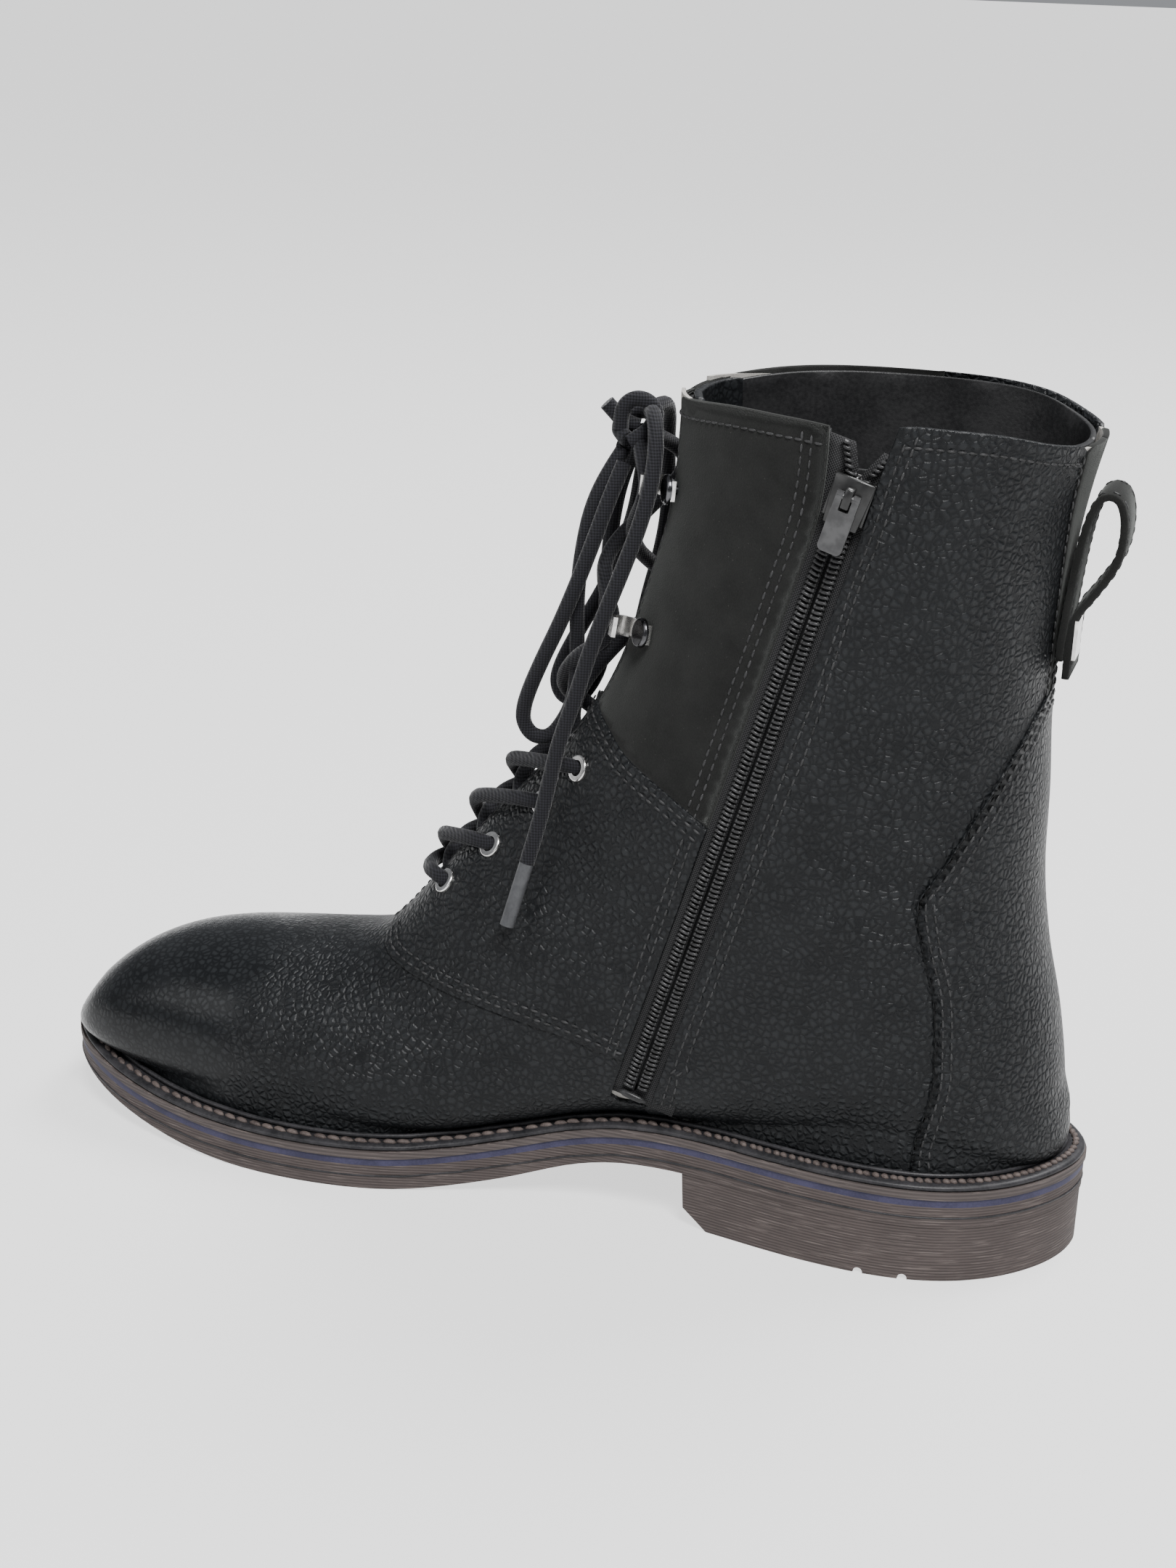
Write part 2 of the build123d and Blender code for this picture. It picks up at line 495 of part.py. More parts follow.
# ---------------------------------------------------------------- tongue, gusset, footbed
inside_layer = lining_inner - tongue_inner
tongue_side = [(-60, 64.5), (-30, 64.5), (0, 96), (34, 128), (60, 150), (60, 231), (-60, 231)]
tongue_front = [(-23, 60), (-29, 150), (-31, 240), (32, 240), (30, 150), (24, 60)]
keep("tongue", (inside_layer & prism_yz(tongue_front, -90, 60)) & prism_xz(tongue_side, -90, 90))
gusset = inside_layer & zip_block(34.0, 219.0, -15.0, 15.0, -30.0, 12.0)
gusset -= zip_block(30.0, 240.0, -7.4, 7.4, -2.95, 12.0)
gusset -= tape_room
keep("zip_gusset", gusset)
footbed_zone = plan(16.5) & plan(16.5).moved(Location((-4.5, 2.5, 0)))
keep("footbed", layer(SOLE_TOP, SOLE_TOP, seat_low + 2.45, seat_low + 5.4) & footbed_zone)

# ---------------------------------------------------------------- zip
keep("zip_tape_front", tape_front)
keep("zip_tape_rear", tape_rear)
keep("zip_coil_front", zip_block(coil_zone_low, coil_zone_high, -COIL_WIDTH / 2, -0.65, -0.6, 1.1))
keep("zip_coil_rear", zip_block(coil_zone_low, coil_zone_high, 0.65, COIL_WIDTH / 2, -0.6, 1.1))
keep("zip_bottom_stop", zip_block(36.4, 38.8, -4.4, 4.4, -0.6, 1.5))


def parted(sign):
    """One coil end above the slider, leaning away from the other."""
    low, high = zip_point(216.4, sign * 2.2, 0.25), zip_point(222.6, sign * 5.4, 0.25)
    run = high - low
    plane = Plane(low, x_dir=ZIP_OUT, z_dir=run)
    corners = [plane.from_local_coords((a, b, 0)) for a, b in ((-0.85, -1.5), (0.85, -1.5), (0.85, 1.5), (-0.85, 1.5))]
    return Solid.extrude(Face(Wire(Polyline(*corners, close=True).edges())), run)


keep("zip_coil_ends", Compound([parted(-1), parted(1)]))

SLIDER_LOW, SLIDER_HIGH = 203.2, 215.4
PIN_HEIGHT, PIN_OUT = 211.0, 4.15
half = SLIDER_HALF
top_plate = zip_block(SLIDER_LOW, SLIDER_HIGH, -half, half, 1.45, 2.6)
flanges = [zip_block(SLIDER_LOW, SLIDER_HIGH, a, b, -0.2, 1.5) for a, b in ((-half, -half + 0.95), (half - 0.95, half))]
bottom_plate = zip_block(SLIDER_LOW, SLIDER_HIGH, -half + 0.2, half - 0.2, -2.5, -1.6)
post = zip_block(SLIDER_HIGH - 3.5, SLIDER_HIGH, -0.3, 0.3, -1.7, 1.5)
bail = zip_block(PIN_HEIGHT - 2.4, PIN_HEIGHT + 2.4, -1.0, 1.0, 2.5, 5.7)
pin_centre = zip_point(PIN_HEIGHT, 0.0, PIN_OUT)
bore = Solid.make_cylinder(0.85, 4.0, Plane(pin_centre - ZIP_SIDE * 2.0, z_dir=ZIP_SIDE))
slider = ((top_plate + flanges + bottom_plate + post) + bail) - bore
keep("slider", slider)

DOWN = (Vector(0, 0, -1) - ZIP_SIDE * Vector(0, 0, -1).dot(ZIP_SIDE)).normalized()
FACE_OUT = ZIP_SIDE.cross(DOWN).normalized()
if FACE_OUT.dot(ZIP_OUT) < 0:
    FACE_OUT = FACE_OUT * -1


def puller_block(d0, d1, s0, s1, o0, o1):
    """A bar of the puller: along its length, across it and through its thickness."""
    corners = [pin_centre + DOWN * d0 + ZIP_SIDE * a + FACE_OUT * b for a, b in ((s0, o0), (s1, o0), (s1, o1), (s0, o1))]
    return Solid.extrude(Face(Wire(Polyline(*corners, close=True).edges())), DOWN * (d1 - d0))


arms = [puller_block(-1.2, 4.6, a, b, -0.55, 0.75) for a, b in ((-3.0, -1.3), (1.3, 3.0))]
tab = puller_block(3.4, 14.0, -3.1, 3.1, -0.55, 0.75)
tab = tab.fillet(1.4, tab.edges().filter_by(lambda e: abs(e.length - 1.3) < 0.01).sort_by(Axis(pin_centre, DOWN))[-2:])
pin = Solid.make_cylinder(0.8, 5.6, Plane(pin_centre - ZIP_SIDE * 2.8, z_dir=ZIP_SIDE))
keep("puller", tab + arms + pin)
print("slide axis", tuple(ZIP_UP * -1))
print("puller pin", tuple(pin_centre - ORIGIN), "axis", tuple(ZIP_SIDE))

# ---------------------------------------------------------------- pull loop
LOOP_PATH = [(131.0, 166.5), (131.2, 173.0), (132.6, 190.0), (134.4, 202.0), (137.2, 208.6), (141.4, 208.4),
             (143.4, 202.0), (142.4, 192.5), (137.6, 183.8), (133.9, 178.0), (133.1, 172.0), (133.0, 161.0)]
keep("pull_loop", rail(LOOP_PATH, 0.85, -8.0, 12.0))
keep("loop_clip", box_between(134.1, 135.0, -8.2, 0.8, 167.2, 177.4))

# ---------------------------------------------------------------- laces
def front_at(y, z, out):
    """A point out from the front face at a sideways place and a height."""
    here, normal = seat((lerp(-50, 26, (z - 64) / 130) if z < 194 else 24, y, z))
    return here + normal * out


inner_seats = [seat(target) for target in EYELETS]
outer_seats = [seat(tuple(mirrored(Vector(*target)))) for target in EYELETS]


def crossing(low_seat, high_seat, sign, hump):
    """One strand: out from under one eyestay, over the tongue and down into the other's eyelet."""
    start, start_n = low_seat
    end, end_n = high_seat
    z0, z1 = start.Z + 1.0, end.Z
    under = front_at(sign * 10.0 - 1.5, lerp(z0, z1, 0.05), -3.0)
    rise = front_at(sign * 4.6 - 1.5, lerp(z0, z1, 0.26), hump - 1.4)
    middle = front_at(-sign * 1.8 - 1.5, lerp(z0, z1, 0.5), hump)
    land = front_at(-sign * 8.6 - 1.5, lerp(z0, z1, 0.78), max(4.0, hump - 1.0))
    over = end + end_n * 3.4
    return [tuple(p) for p in (under, rise, middle, land, over, end - end_n * 3.2)]


strands = []
bar_left, bar_right = inner_seats[0], outer_seats[0]
bar = [bar_left[0] - bar_left[1] * 3.2, bar_left[0] + bar_left[1] * 3.2, front_at(-8.5, 84.5, 4.0),
       front_at(5.5, 84.0, 4.0), bar_right[0] + bar_right[1] * 3.2, bar_right[0] - bar_right[1] * 3.2]
strands.append(tube("lace bar", [tuple(p) for p in bar], LACE_RADIUS))
for k in range(3):
    strands.append(tube("crossing", crossing(inner_seats[k], outer_seats[k + 1], -1, 2.3), LACE_RADIUS))
    strands.append(tube("crossing", crossing(outer_seats[k], inner_seats[k + 1], 1, 6.8), LACE_RADIUS))
UPPER_RUNS = [
    [(5.5, -10.0, 129.0), (1.5, -7.5, 133.5), (2.0, 2.0, 142.0), (10.5, 14.0, 154.0), (19.5, 21.5, 162.5), (20.6, 22.0, 168.5),
     (16.5, 16.0, 173.5), (14.2, 4.0, 181.0), (17.4, -8.0, 190.0), (22.8, -16.5, 198.5), (23.4, -17.2, 204.5),
     (20.0, -12.5, 209.5), (18.4, -8.0, 213.0)],
    [(7.0, 9.0, 129.5), (3.5, 6.5, 134.0), (-3.2, -2.5, 141.0), (3.6, -14.0, 152.5), (15.6, -21.5, 161.5), (17.6, -22.0, 167.5),
     (12.5, -15.0, 173.0), (8.4, -3.5, 180.0), (15.8, 9.5, 190.0), (23.0, 17.0, 198.5), (23.8, 18.0, 204.5),
     (19.5, 11.0, 209.5), (17.0, 0.5, 213.0)],
]
for run in UPPER_RUNS:
    strands.append(tube("upper run", run, LACE_RADIUS))
keep("lacing", Compound(strands))

KNOT = Vector(17.5, -5.0, 216.5)
ring_a = Solid.make_torus(4.6, 2.3, Plane(KNOT, z_dir=(0.3, 0.9, 0.3)))
ring_b = Solid.make_torus(3.4, 2.3, Plane(KNOT + Vector(-0.6, -1.5, 1.2), z_dir=(0.6, 0.2, 0.9)))
stub = Solid.make_cylinder(2.2, 8.0, Plane(KNOT + Vector(-2.0, -1.0, 1.0), z_dir=(-0.95, -0.2, 0.1)))
core = Solid.make_sphere(4.2, Plane(KNOT))
keep("lace_knot", ((core + ring_a) + ring_b) + stub)

LOOP_INNER = [
    (14.0, -8.0, 209.4), (10.4, -10.6, 202.8), (7.0, -12.4, 193.6), (5.2, -13.0, 182.6), (4.3, -13.2, 171.0),
    (4.6, -12.8, 159.6), (4.9, -12.4, 149.4), (4.2, -12.2, 141.0), (1.5, -12.2, 134.4), (-2.2, -12.4, 129.3),
    (-6.9, -12.9, 129.1), (-9.6, -13.7, 132.9), (-9.3, -14.6, 137.6), (-7.2, -15.8, 143.8), (-3.4, -17.2, 152.6),
    (1.4, -18.2, 163.0), (5.8, -18.0, 174.6), (9.6, -16.6, 186.6), (12.4, -13.8, 197.4), (15.0, -10.6, 206.2)]
# The outer loop is the inner one seen in a mirror, a little shorter and wider.
LOOP_OUTER = [(x + 0.6, 0.8 - 1.9 * (y + 8.0), 209.4 + 0.94 * (z - 209.4)) for x, y, z in LOOP_INNER]
END_INNER = [
    (20.4, -6.6, 219.6), (22.6, -11.6, 220.4), (25.4, -17.4, 215.6), (26.6, -22.4, 206.4), (25.2, -26.0, 195.4), (21.6, -28.0, 183.2),
    (17.4, -28.6, 171.2), (13.2, -28.6, 159.0), (10.0, -28.6, 146.6), (6.0, -28.8, 134.4), (3.8, -29.6, 122.2), (1.8, -31.0, 110.4), (-0.4, -33.4, 100.2)]
END_OUTER = [
    (19.6, -1.6, 219.4), (20.6, 4.6, 220.6), (20.2, 11.4, 217.2), (18.4, 17.4, 208.8), (17.6, 22.4, 198.0), (17.0, 26.0, 186.0),
    (14.6, 28.6, 174.0), (11.4, 30.0, 162.0), (9.0, 30.6, 149.8), (5.0, 31.0, 137.8), (2.6, 31.4, 126.0), (-0.8, 32.0, 114.6), (-3.0, 32.4, 104.8)]
keep("bow_loop_inner", tube("bow_loop_inner", LOOP_INNER, LACE_RADIUS))
keep("bow_loop_outer", tube("bow_loop_outer", LOOP_OUTER, LACE_RADIUS))
keep("lace_end_inner", tube("lace_end_inner", END_INNER, LACE_RADIUS))
keep("lace_end_outer", tube("lace_end_outer", END_OUTER, LACE_RADIUS))
for name, route in (("aglet_inner", END_INNER), ("aglet_outer", END_OUTER)):
    along = (Vector(*route[-1]) - Vector(*route[-2])).normalized()
    keep(name, Solid.make_cylinder(AGLET_RADIUS, 18.0, Plane(route[-1], z_dir=along)))
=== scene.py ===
"""Lace-up ankle boot with an inside zip: the pieces that show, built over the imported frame.

Sizes are in millimetres until a mesh is made, because boots are drawn that way; meshes are in metres.
"""

import logging
import math
from dataclasses import dataclass, field
from enum import Enum

import bpy
import numpy as np
from mathutils import Matrix, Vector
from mathutils.geometry import delaunay_2d_cdt


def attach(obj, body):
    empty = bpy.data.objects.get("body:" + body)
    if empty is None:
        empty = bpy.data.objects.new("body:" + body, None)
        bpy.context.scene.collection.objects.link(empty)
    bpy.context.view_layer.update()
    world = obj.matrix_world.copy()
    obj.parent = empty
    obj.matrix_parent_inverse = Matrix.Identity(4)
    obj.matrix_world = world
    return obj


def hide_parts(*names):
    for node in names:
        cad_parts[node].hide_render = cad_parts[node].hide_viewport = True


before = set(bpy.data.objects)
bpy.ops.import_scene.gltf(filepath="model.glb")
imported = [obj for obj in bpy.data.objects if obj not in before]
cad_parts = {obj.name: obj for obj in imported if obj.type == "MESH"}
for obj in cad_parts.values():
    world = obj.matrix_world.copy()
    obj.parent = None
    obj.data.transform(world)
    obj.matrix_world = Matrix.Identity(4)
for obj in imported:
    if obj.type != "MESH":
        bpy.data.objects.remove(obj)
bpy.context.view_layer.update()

LOG = logging.getLogger("boot")
MM = 0.001
ORIGIN = np.array([0.63, 4.14, -0.01])  # the row frame's origin in the drawing's own coordinates
BOOT, SLIDER, PULLER = "boot", "slider", "puller"

# Each row is one section of the upper: front x, front z, back x, back z, inner side y, outer side y, front y, back y,
# place of the widest point, roundness of the front half, roundness of the back half.
SECTIONS = np.array([
    (28.0, 234.0, 138.0, 234.0, -46.5, 43.5, 0.0, 2.0, 0.56, 2.3, 2.3),
    (27.5, 212.0, 133.5, 212.0, -45.3, 42.5, 0.0, 2.0, 0.55, 2.3, 2.3),
    (26.0, 196.0, 131.0, 193.0, -44.2, 41.5, 0.0, 2.0, 0.54, 2.3, 2.3),
    (22.0, 178.0, 129.3, 172.0, -43.0, 40.5, 0.0, 2.0, 0.53, 2.3, 2.3),
    (17.0, 160.0, 128.7, 150.0, -41.9, 39.5, 0.0, 2.0, 0.52, 2.3, 2.3),
    (11.5, 147.0, 130.3, 128.0, -41.0, 38.8, 0.0, 2.0, 0.52, 2.3, 2.3),
    (5.0, 135.5, 131.3, 106.0, -40.4, 38.2, 0.0, 2.0, 0.52, 2.3, 2.3),
    (-2.0, 126.0, 134.5, 86.0, -40.0, 38.0, 0.0, 2.0, 0.53, 2.25, 2.3),
    (-8.5, 117.5, 139.5, 66.0, -38.6, 36.8, -1.0, 2.0, 0.54, 2.3, 2.35),
    (-14.5, 110.0, 142.8, 46.0, -37.4, 36.2, -2.5, 2.0, 0.57, 2.35, 2.35),
    (-19.5, 104.0, 143.5, 28.0, -36.6, 35.8, -3.5, 2.0, 0.60, 2.45, 2.3),
    (-24.0, 98.0, 115.0, 26.5, -36.2, 36.0, -4.0, 2.0, 0.63, 2.5, 2.5),
    (-29.5, 91.0, 85.0, 26.5, -35.9, 36.8, -4.5, 2.0, 0.65, 2.5, 2.7),
    (-35.0, 84.0, 55.0, 26.2, -35.8, 38.6, -5.0, 2.5, 0.68, 2.4, 2.8),
    (-40.5, 77.0, 28.0, 24.2, -36.2, 41.2, -5.5, 3.0, 0.70, 2.2, 2.9),
    (-46.0, 70.5, 3.0, 18.3, -38.2, 45.5, -6.0, 3.5, 0.73, 2.0, 3.1),
    (-53.0, 64.5, -20.0, 12.8, -41.5, 49.5, -6.0, 4.0, 0.75, 1.95, 3.3),
    (-62.0, 60.8, -42.0, 11.4, -43.8, 51.5, -6.0, 3.0, 0.76, 2.0, 3.4),
    (-75.0, 58.7, -62.0, 11.4, -43.8, 51.0, -7.0, 2.0, 0.76, 2.0, 3.4),
    (-90.0, 57.0, -82.0, 11.8, -42.5, 48.0, -8.0, 0.0, 0.75, 2.0, 3.4),
    (-104.0, 55.5, -100.0, 13.0, -40.3, 42.5, -9.0, -2.0, 0.74, 2.0, 3.4),
    (-117.0, 52.5, -116.0, 14.5, -37.5, 35.5, -10.0, -4.0, 0.72, 2.0, 3.3),
    (-128.0, 47.5, -129.0, 16.5, -34.5, 27.0, -11.0, -6.0, 0.70, 2.0, 3.2),
    (-137.0, 40.5, -138.0, 18.5, -30.5, 17.0, -12.0, -9.0, 0.66, 2.0, 3.0),
    (-143.0, 32.5, -143.5, 19.8, -25.5, 6.0, -13.0, -11.0, 0.60, 2.1, 2.6),
    (-145.8, 27.5, -146.0, 21.5, -21.0, -3.0, -13.0, -12.0, 0.52, 2.1, 2.2),
])
LAST_ROW = len(SECTIONS) - 1
TIP = LAST_ROW + 0.6    # the place where the toe closes
TIP_DEPTH = 1.6         # how far the closed toe stands in front of the last section

SOLE_OUTLINE = np.array([
    (151.0, 3.0), (148.2, -8.0), (140.0, -20.5), (128.0, -30.5), (112.0, -36.8), (92.0, -38.3),
    (72.0, -36.3), (50.0, -32.6), (27.0, -31.3), (3.0, -33.5), (-17.0, -38.5), (-38.0, -45.5),
    (-60.0, -49.0), (-82.0, -48.4), (-104.0, -44.0), (-124.0, -36.5), (-139.0, -27.0),
    (-148.0, -16.0), (-149.5, -4.0), (-143.5, 8.5), (-132.0, 21.0), (-117.0, 33.5), (-98.0, 45.5),
    (-76.0, 54.0), (-52.0, 57.5), (-26.0, 54.7), (2.0, 48.2), (30.0, 42.5), (60.0, 39.2),
    (88.0, 38.6), (110.0, 37.5), (128.0, 32.0), (141.0, 22.0), (148.8, 12.0),
])
SOLE_TOP = np.array([
    (-152.0, 17.2), (-140.0, 14.2), (-125.0, 11.4), (-110.0, 9.4), (-95.0, 8.1), (-78.0, 7.4),
    (-60.0, 7.2), (-45.0, 7.2), (-30.0, 7.8), (-16.0, 9.7), (0.0, 13.6), (13.5, 17.7),
    (27.0, 20.6), (40.0, 21.8), (60.0, 22.3), (100.0, 22.3), (153.0, 22.3),
])
STRIPE, BAND, WELT = 2.2, 2.2, 1.6
WELT_TOP = STRIPE + BAND + WELT      # the welt's upper face above the outsole's
FOOTBED_TOP = STRIPE + BAND + 7.4    # the footbed's upper face above the outsole's

SEAT_HEIGHT, SEAT_INSET = 20.0, 6.0  # the foot of the upper: how high it is drawn out, and how far in from the outline

VAMP_SEAM = [(-48.0, 66.5), (-43.0, 63.2), (-25.7, 59.7), (-5.9, 56.2), (12.9, 52.9), (26.0, 49.5)]
QUARTER_TOP = [(9.5, 142.6), (17.5, 138.6), (25.3, 133.0), (37.9, 126.6), (50.0, 119.6)]
COUNTER_SEAM = [(132.0, 168.0), (126.4, 150.7), (118.7, 132.6), (109.9, 114.6), (105.8, 107.8), (105.5, 103.0),
                (108.0, 91.8), (111.3, 79.8), (112.7, 65.4), (112.7, 51.9), (107.5, 30.0)]
FRONT_TOP = [(24.0, 224.0), (31.0, 226.0), (48.6, 228.0), (66.0, 227.6), (75.6, 226.8)]
REAR_TOP = [(93.0, 228.0), (98.7, 228.3), (115.8, 226.9), (128.0, 223.8), (139.0, 221.0)]
OUTER_TOP = [(24.0, 224.0), (31.0, 226.0), (48.6, 228.0), (70.0, 228.6), (98.7, 228.3), (115.8, 226.9), (128.0, 223.8),
             (139.0, 221.0)]
SIDE_SEAM = [(35.6, 48.6), (55.1, 116.5), (72.8, 178.0), (87.4, 228.8)]  # front and rear quarter on the outer side
THROAT_HALF = np.array([(60.0, 6.0), (72.0, 6.4), (100.0, 7.5), (125.0, 10.0), (142.0, 12.5), (165.0, 15.0), (228.0, 17.5)])
STRIP_HALF = np.array([(140.0, 6.0), (167.0, 6.0), (181.0, 8.0), (206.0, 14.0), (240.0, 20.0)])

ZIP_LOW, ZIP_HIGH = np.array([32.5, -33.6, 38.0]), np.array([83.5, -43.9, 215.0])
SLOT_HALF = 6.1         # half width of the slot in the leather, along x


# ------------------------------------------------------------------ curves
def smooth(points: list[tuple[float, ...]] | np.ndarray, steps: int = 8, closed: bool = False) -> np.ndarray:
    """A Catmull-Rom curve through points.

    Args:
        points: The points that the curve passes through.
        steps: Pieces between two points.
        closed: Whether the curve comes back to its first point.

    Returns:
        The curve's points; a closed curve doesn't repeat its first.
    """
    p = np.asarray(points, float)
    ring = np.vstack([p[-1], p, p[0], p[1]]) if closed else np.vstack([2 * p[0] - p[1], p, 2 * p[-1] - p[-2]])
    t = np.linspace(0, 1, steps, endpoint=False)[:, None]
    out = []
    for a, b, c, d in zip(ring, ring[1:], ring[2:], ring[3:]):
        out.append(0.5 * (2 * b + (c - a) * t + (2 * a - 5 * b + 4 * c - d) * t ** 2 + (3 * b - a - 3 * c + d) * t ** 3))
    curve = np.vstack(out)
    return curve if closed else np.vstack([curve, p[-1]])


def walk(points: np.ndarray, step: float, closed: bool = False) -> np.ndarray:
    """Points an even distance apart along a polyline.

    Args:
        points: The polyline.
        step: The wanted distance.
        closed: Whether it joins up.

    Returns:
        The new points; a closed line doesn't repeat its first.
    """
    line = np.vstack([points, points[:1]]) if closed else points
    gone = np.concatenate([[0.0], np.cumsum(np.linalg.norm(np.diff(line, axis=0), axis=1))])
    count = max(int(round(gone[-1] / step)), 2)
    marks = np.linspace(0, gone[-1], count + 1)[: count if closed else count + 1]
    return np.column_stack([np.interp(marks, gone, line[:, k]) for k in range(line.shape[1])])


def sole_top(x: np.ndarray) -> np.ndarray:
    """The height of the outsole's upper face at x."""
    return np.interp(x, SOLE_TOP[:, 0], SOLE_TOP[:, 1])


def zip_x(z: np.ndarray | float) -> np.ndarray | float:
    """The x of the zip track at a height."""
    return ZIP_LOW[0] + (z - ZIP_LOW[2]) * (ZIP_HIGH[0] - ZIP_LOW[0]) / (ZIP_HIGH[2] - ZIP_LOW[2])


def sole_line(step: float) -> tuple[np.ndarray, np.ndarray]:
    """The sole's outline and the inward direction at each of its points.

    Args:
        step: The distance between points.

    Returns:
        The points and the directions.
    """
    line = walk(smooth(SOLE_OUTLINE, 12, True), step, True)
    run = np.roll(line, -1, axis=0) - np.roll(line, 1, axis=0)
    run /= np.linalg.norm(run, axis=1, keepdims=True)
    inward = np.column_stack([run[:, 1], -run[:, 0]])
    if ((line.mean(0) - line) * inward).sum() < 0:
        inward = -inward
    return line, inward


OUTLINE, INWARD = sole_line(1.5)


# ------------------------------------------------------------------ the upper's face
class UpperFace:
    """The outer face of the upper, addressed by a place along the sections and an angle round them."""

    def rows(self, place: np.ndarray) -> np.ndarray:
        """The section at each place, between the rows of the table."""
        p = np.clip(place, 0, LAST_ROW)
        k = np.minimum(p.astype(int), LAST_ROW - 1)
        t = (p - k)[:, None]
        a, b = SECTIONS[np.maximum(k - 1, 0)], SECTIONS[k]
        c, d = SECTIONS[k + 1], SECTIONS[np.minimum(k + 2, LAST_ROW)]
        return 0.5 * (2 * b + (c - a) * t + (2 * a - 5 * b + 4 * c - d) * t ** 2 + (3 * b - a - 3 * c + d) * t ** 3)

    def point(self, place: np.ndarray, phi: np.ndarray) -> np.ndarray:
        """Points of the face.

        Args:
            place: Places along the sections.
            phi: Angles round them: 0 is the front ridge, a quarter turn the inner side, a half turn the back.

        Returns:
            One row of x, y, z for each place, in millimetres.
        """
        fx, fz, bx, bz, inner, outer, fy, by, widest, nf, nb = self.rows(place).T
        c, s = np.cos(phi), np.sin(phi)
        n = np.where(c > 0, nf, nb)
        middle = fy + (by - fy) * widest
        t = widest - np.sign(c) * np.abs(c) ** (2 / n) * np.where(c > 0, widest, 1 - widest)
        side = np.sign(s) * np.abs(s) ** (2 / n)
        y = fy + (by - fy) * t - side * np.where(s > 0, middle - inner, outer - middle)
        points = np.column_stack([fx + (bx - fx) * t, y, fz + (bz - fz) * t])
        over = np.clip((place - LAST_ROW) / (TIP - LAST_ROW), 0, 1)[:, None]
        centre = np.column_stack([(fx + bx) / 2, middle, (fz + bz) / 2])
        domed = centre + (points - centre) * np.sqrt(1 - over ** 2) + np.array([-TIP_DEPTH, 0, 0]) * np.sin(over * np.pi / 2)
        return self.seated(np.where(over > 0, domed, points))

    def seated(self, points: np.ndarray) -> np.ndarray:
        """Brings the foot of the face out to the rand, so that the leather stands on the welt all the way round.

        Args:
            points: Points of the face.

        Returns:
            The points, with those near the welt moved outwards where they fall short of the rand.
        """
        height = points[:, 2] - sole_top(points[:, 0]) - WELT_TOP
        low = np.nonzero(height < SEAT_HEIGHT)[0]
        if len(low) == 0:
            return points
        moved = points.copy()
        for part in np.array_split(low, max(len(low) // 2000, 1)):
            xy, h = points[part, :2], np.maximum(height[part], 0.0)
            nearest = ((xy[:, None, :] - OUTLINE[None, :, :]) ** 2).sum(2).argmin(1)
            inward = INWARD[nearest]
            inset = ((xy - OUTLINE[nearest]) * inward).sum(1)
            share = np.clip((SEAT_HEIGHT - h) / (SEAT_HEIGHT * 0.55), 0, 1)
            gap = np.maximum(inset - SEAT_INSET, 0.0) * share * share * (3 - 2 * share)
            moved[part, :2] = xy - inward * gap[:, None]
        return moved

    def slopes(self, place: np.ndarray, phi: np.ndarray) -> tuple[np.ndarray, np.ndarray]:
        """How the face moves for a unit of place and for a unit of angle."""
        da, db = 0.02, 0.015
        along = (self.point(np.minimum(place + da, TIP), phi) - self.point(np.maximum(place - da, 0), phi)) / (2 * da)
        turn = (self.point(place, phi + db) - self.point(place, phi - db)) / (2 * db)
        return along, turn

    def normal(self, place: np.ndarray, phi: np.ndarray) -> np.ndarray:
        """The outward direction of the face."""
        along, turn = self.slopes(np.minimum(place, TIP - 0.04), phi)
        n = np.cross(along, turn)
        return n / np.maximum(np.linalg.norm(n, axis=1, keepdims=True), 1e-9)

    def find(self, x: np.ndarray, z: np.ndarray) -> np.ndarray:
        """Place and angle, from 0 to a half turn, of points given in the side view."""
        places = np.linspace(0, LAST_ROW, 2501)
        fx, fz, bx, bz = self.rows(places).T[:4]
        found = []
        for px, pz in zip(x, z):
            off = (px - fx) * (bz - fz) - (pz - fz) * (bx - fx)
            t = ((px - fx) * (bx - fx) + (pz - fz) * (bz - fz)) / ((bx - fx) ** 2 + (bz - fz) ** 2)
            turns = np.nonzero(np.sign(off[1:]) != np.sign(off[:-1]))[0]
            if len(turns) == 0:
                turns = np.array([int(np.argmin(np.abs(off)))])
            k = turns[np.argmin(np.abs(t[turns] - 0.5))]
            k = min(k, len(places) - 2)
            share = 0.0 if off[k] == off[k + 1] else float(np.clip(off[k] / (off[k] - off[k + 1]), 0, 1))
            found.append((places[k] + share * (places[k + 1] - places[k]), t[k] + share * (t[k + 1] - t[k])))
        place, t = np.array(found).T
        widest, nf, nb = self.rows(place).T[8:11]
        ahead = t < widest
        reach, n = np.where(ahead, widest, 1 - widest), np.where(ahead, nf, nb)
        c = np.clip(np.abs(widest - t) / reach, 0, 1) ** (n / 2)
        return np.column_stack([place, np.arccos(np.where(ahead, c, -c))])

    def drawn(self, points: list[tuple[float, float]], curved: bool = True) -> np.ndarray:
        """Places and angles of a line drawn in the side view, from 0 to a half turn."""
        line = smooth(points) if curved else np.asarray(points, float)
        line = walk(line, 1.6)
        return self.find(line[:, 0], line[:, 1])

    def feather(self, x0: float, x1: float) -> np.ndarray:
        """The line where the upper meets the welt, between two x values."""
        x = np.linspace(x0, x1, max(int(abs(x1 - x0) / 1.8), 2))
        return self.find(x, sole_top(x) + WELT_TOP - 0.4)

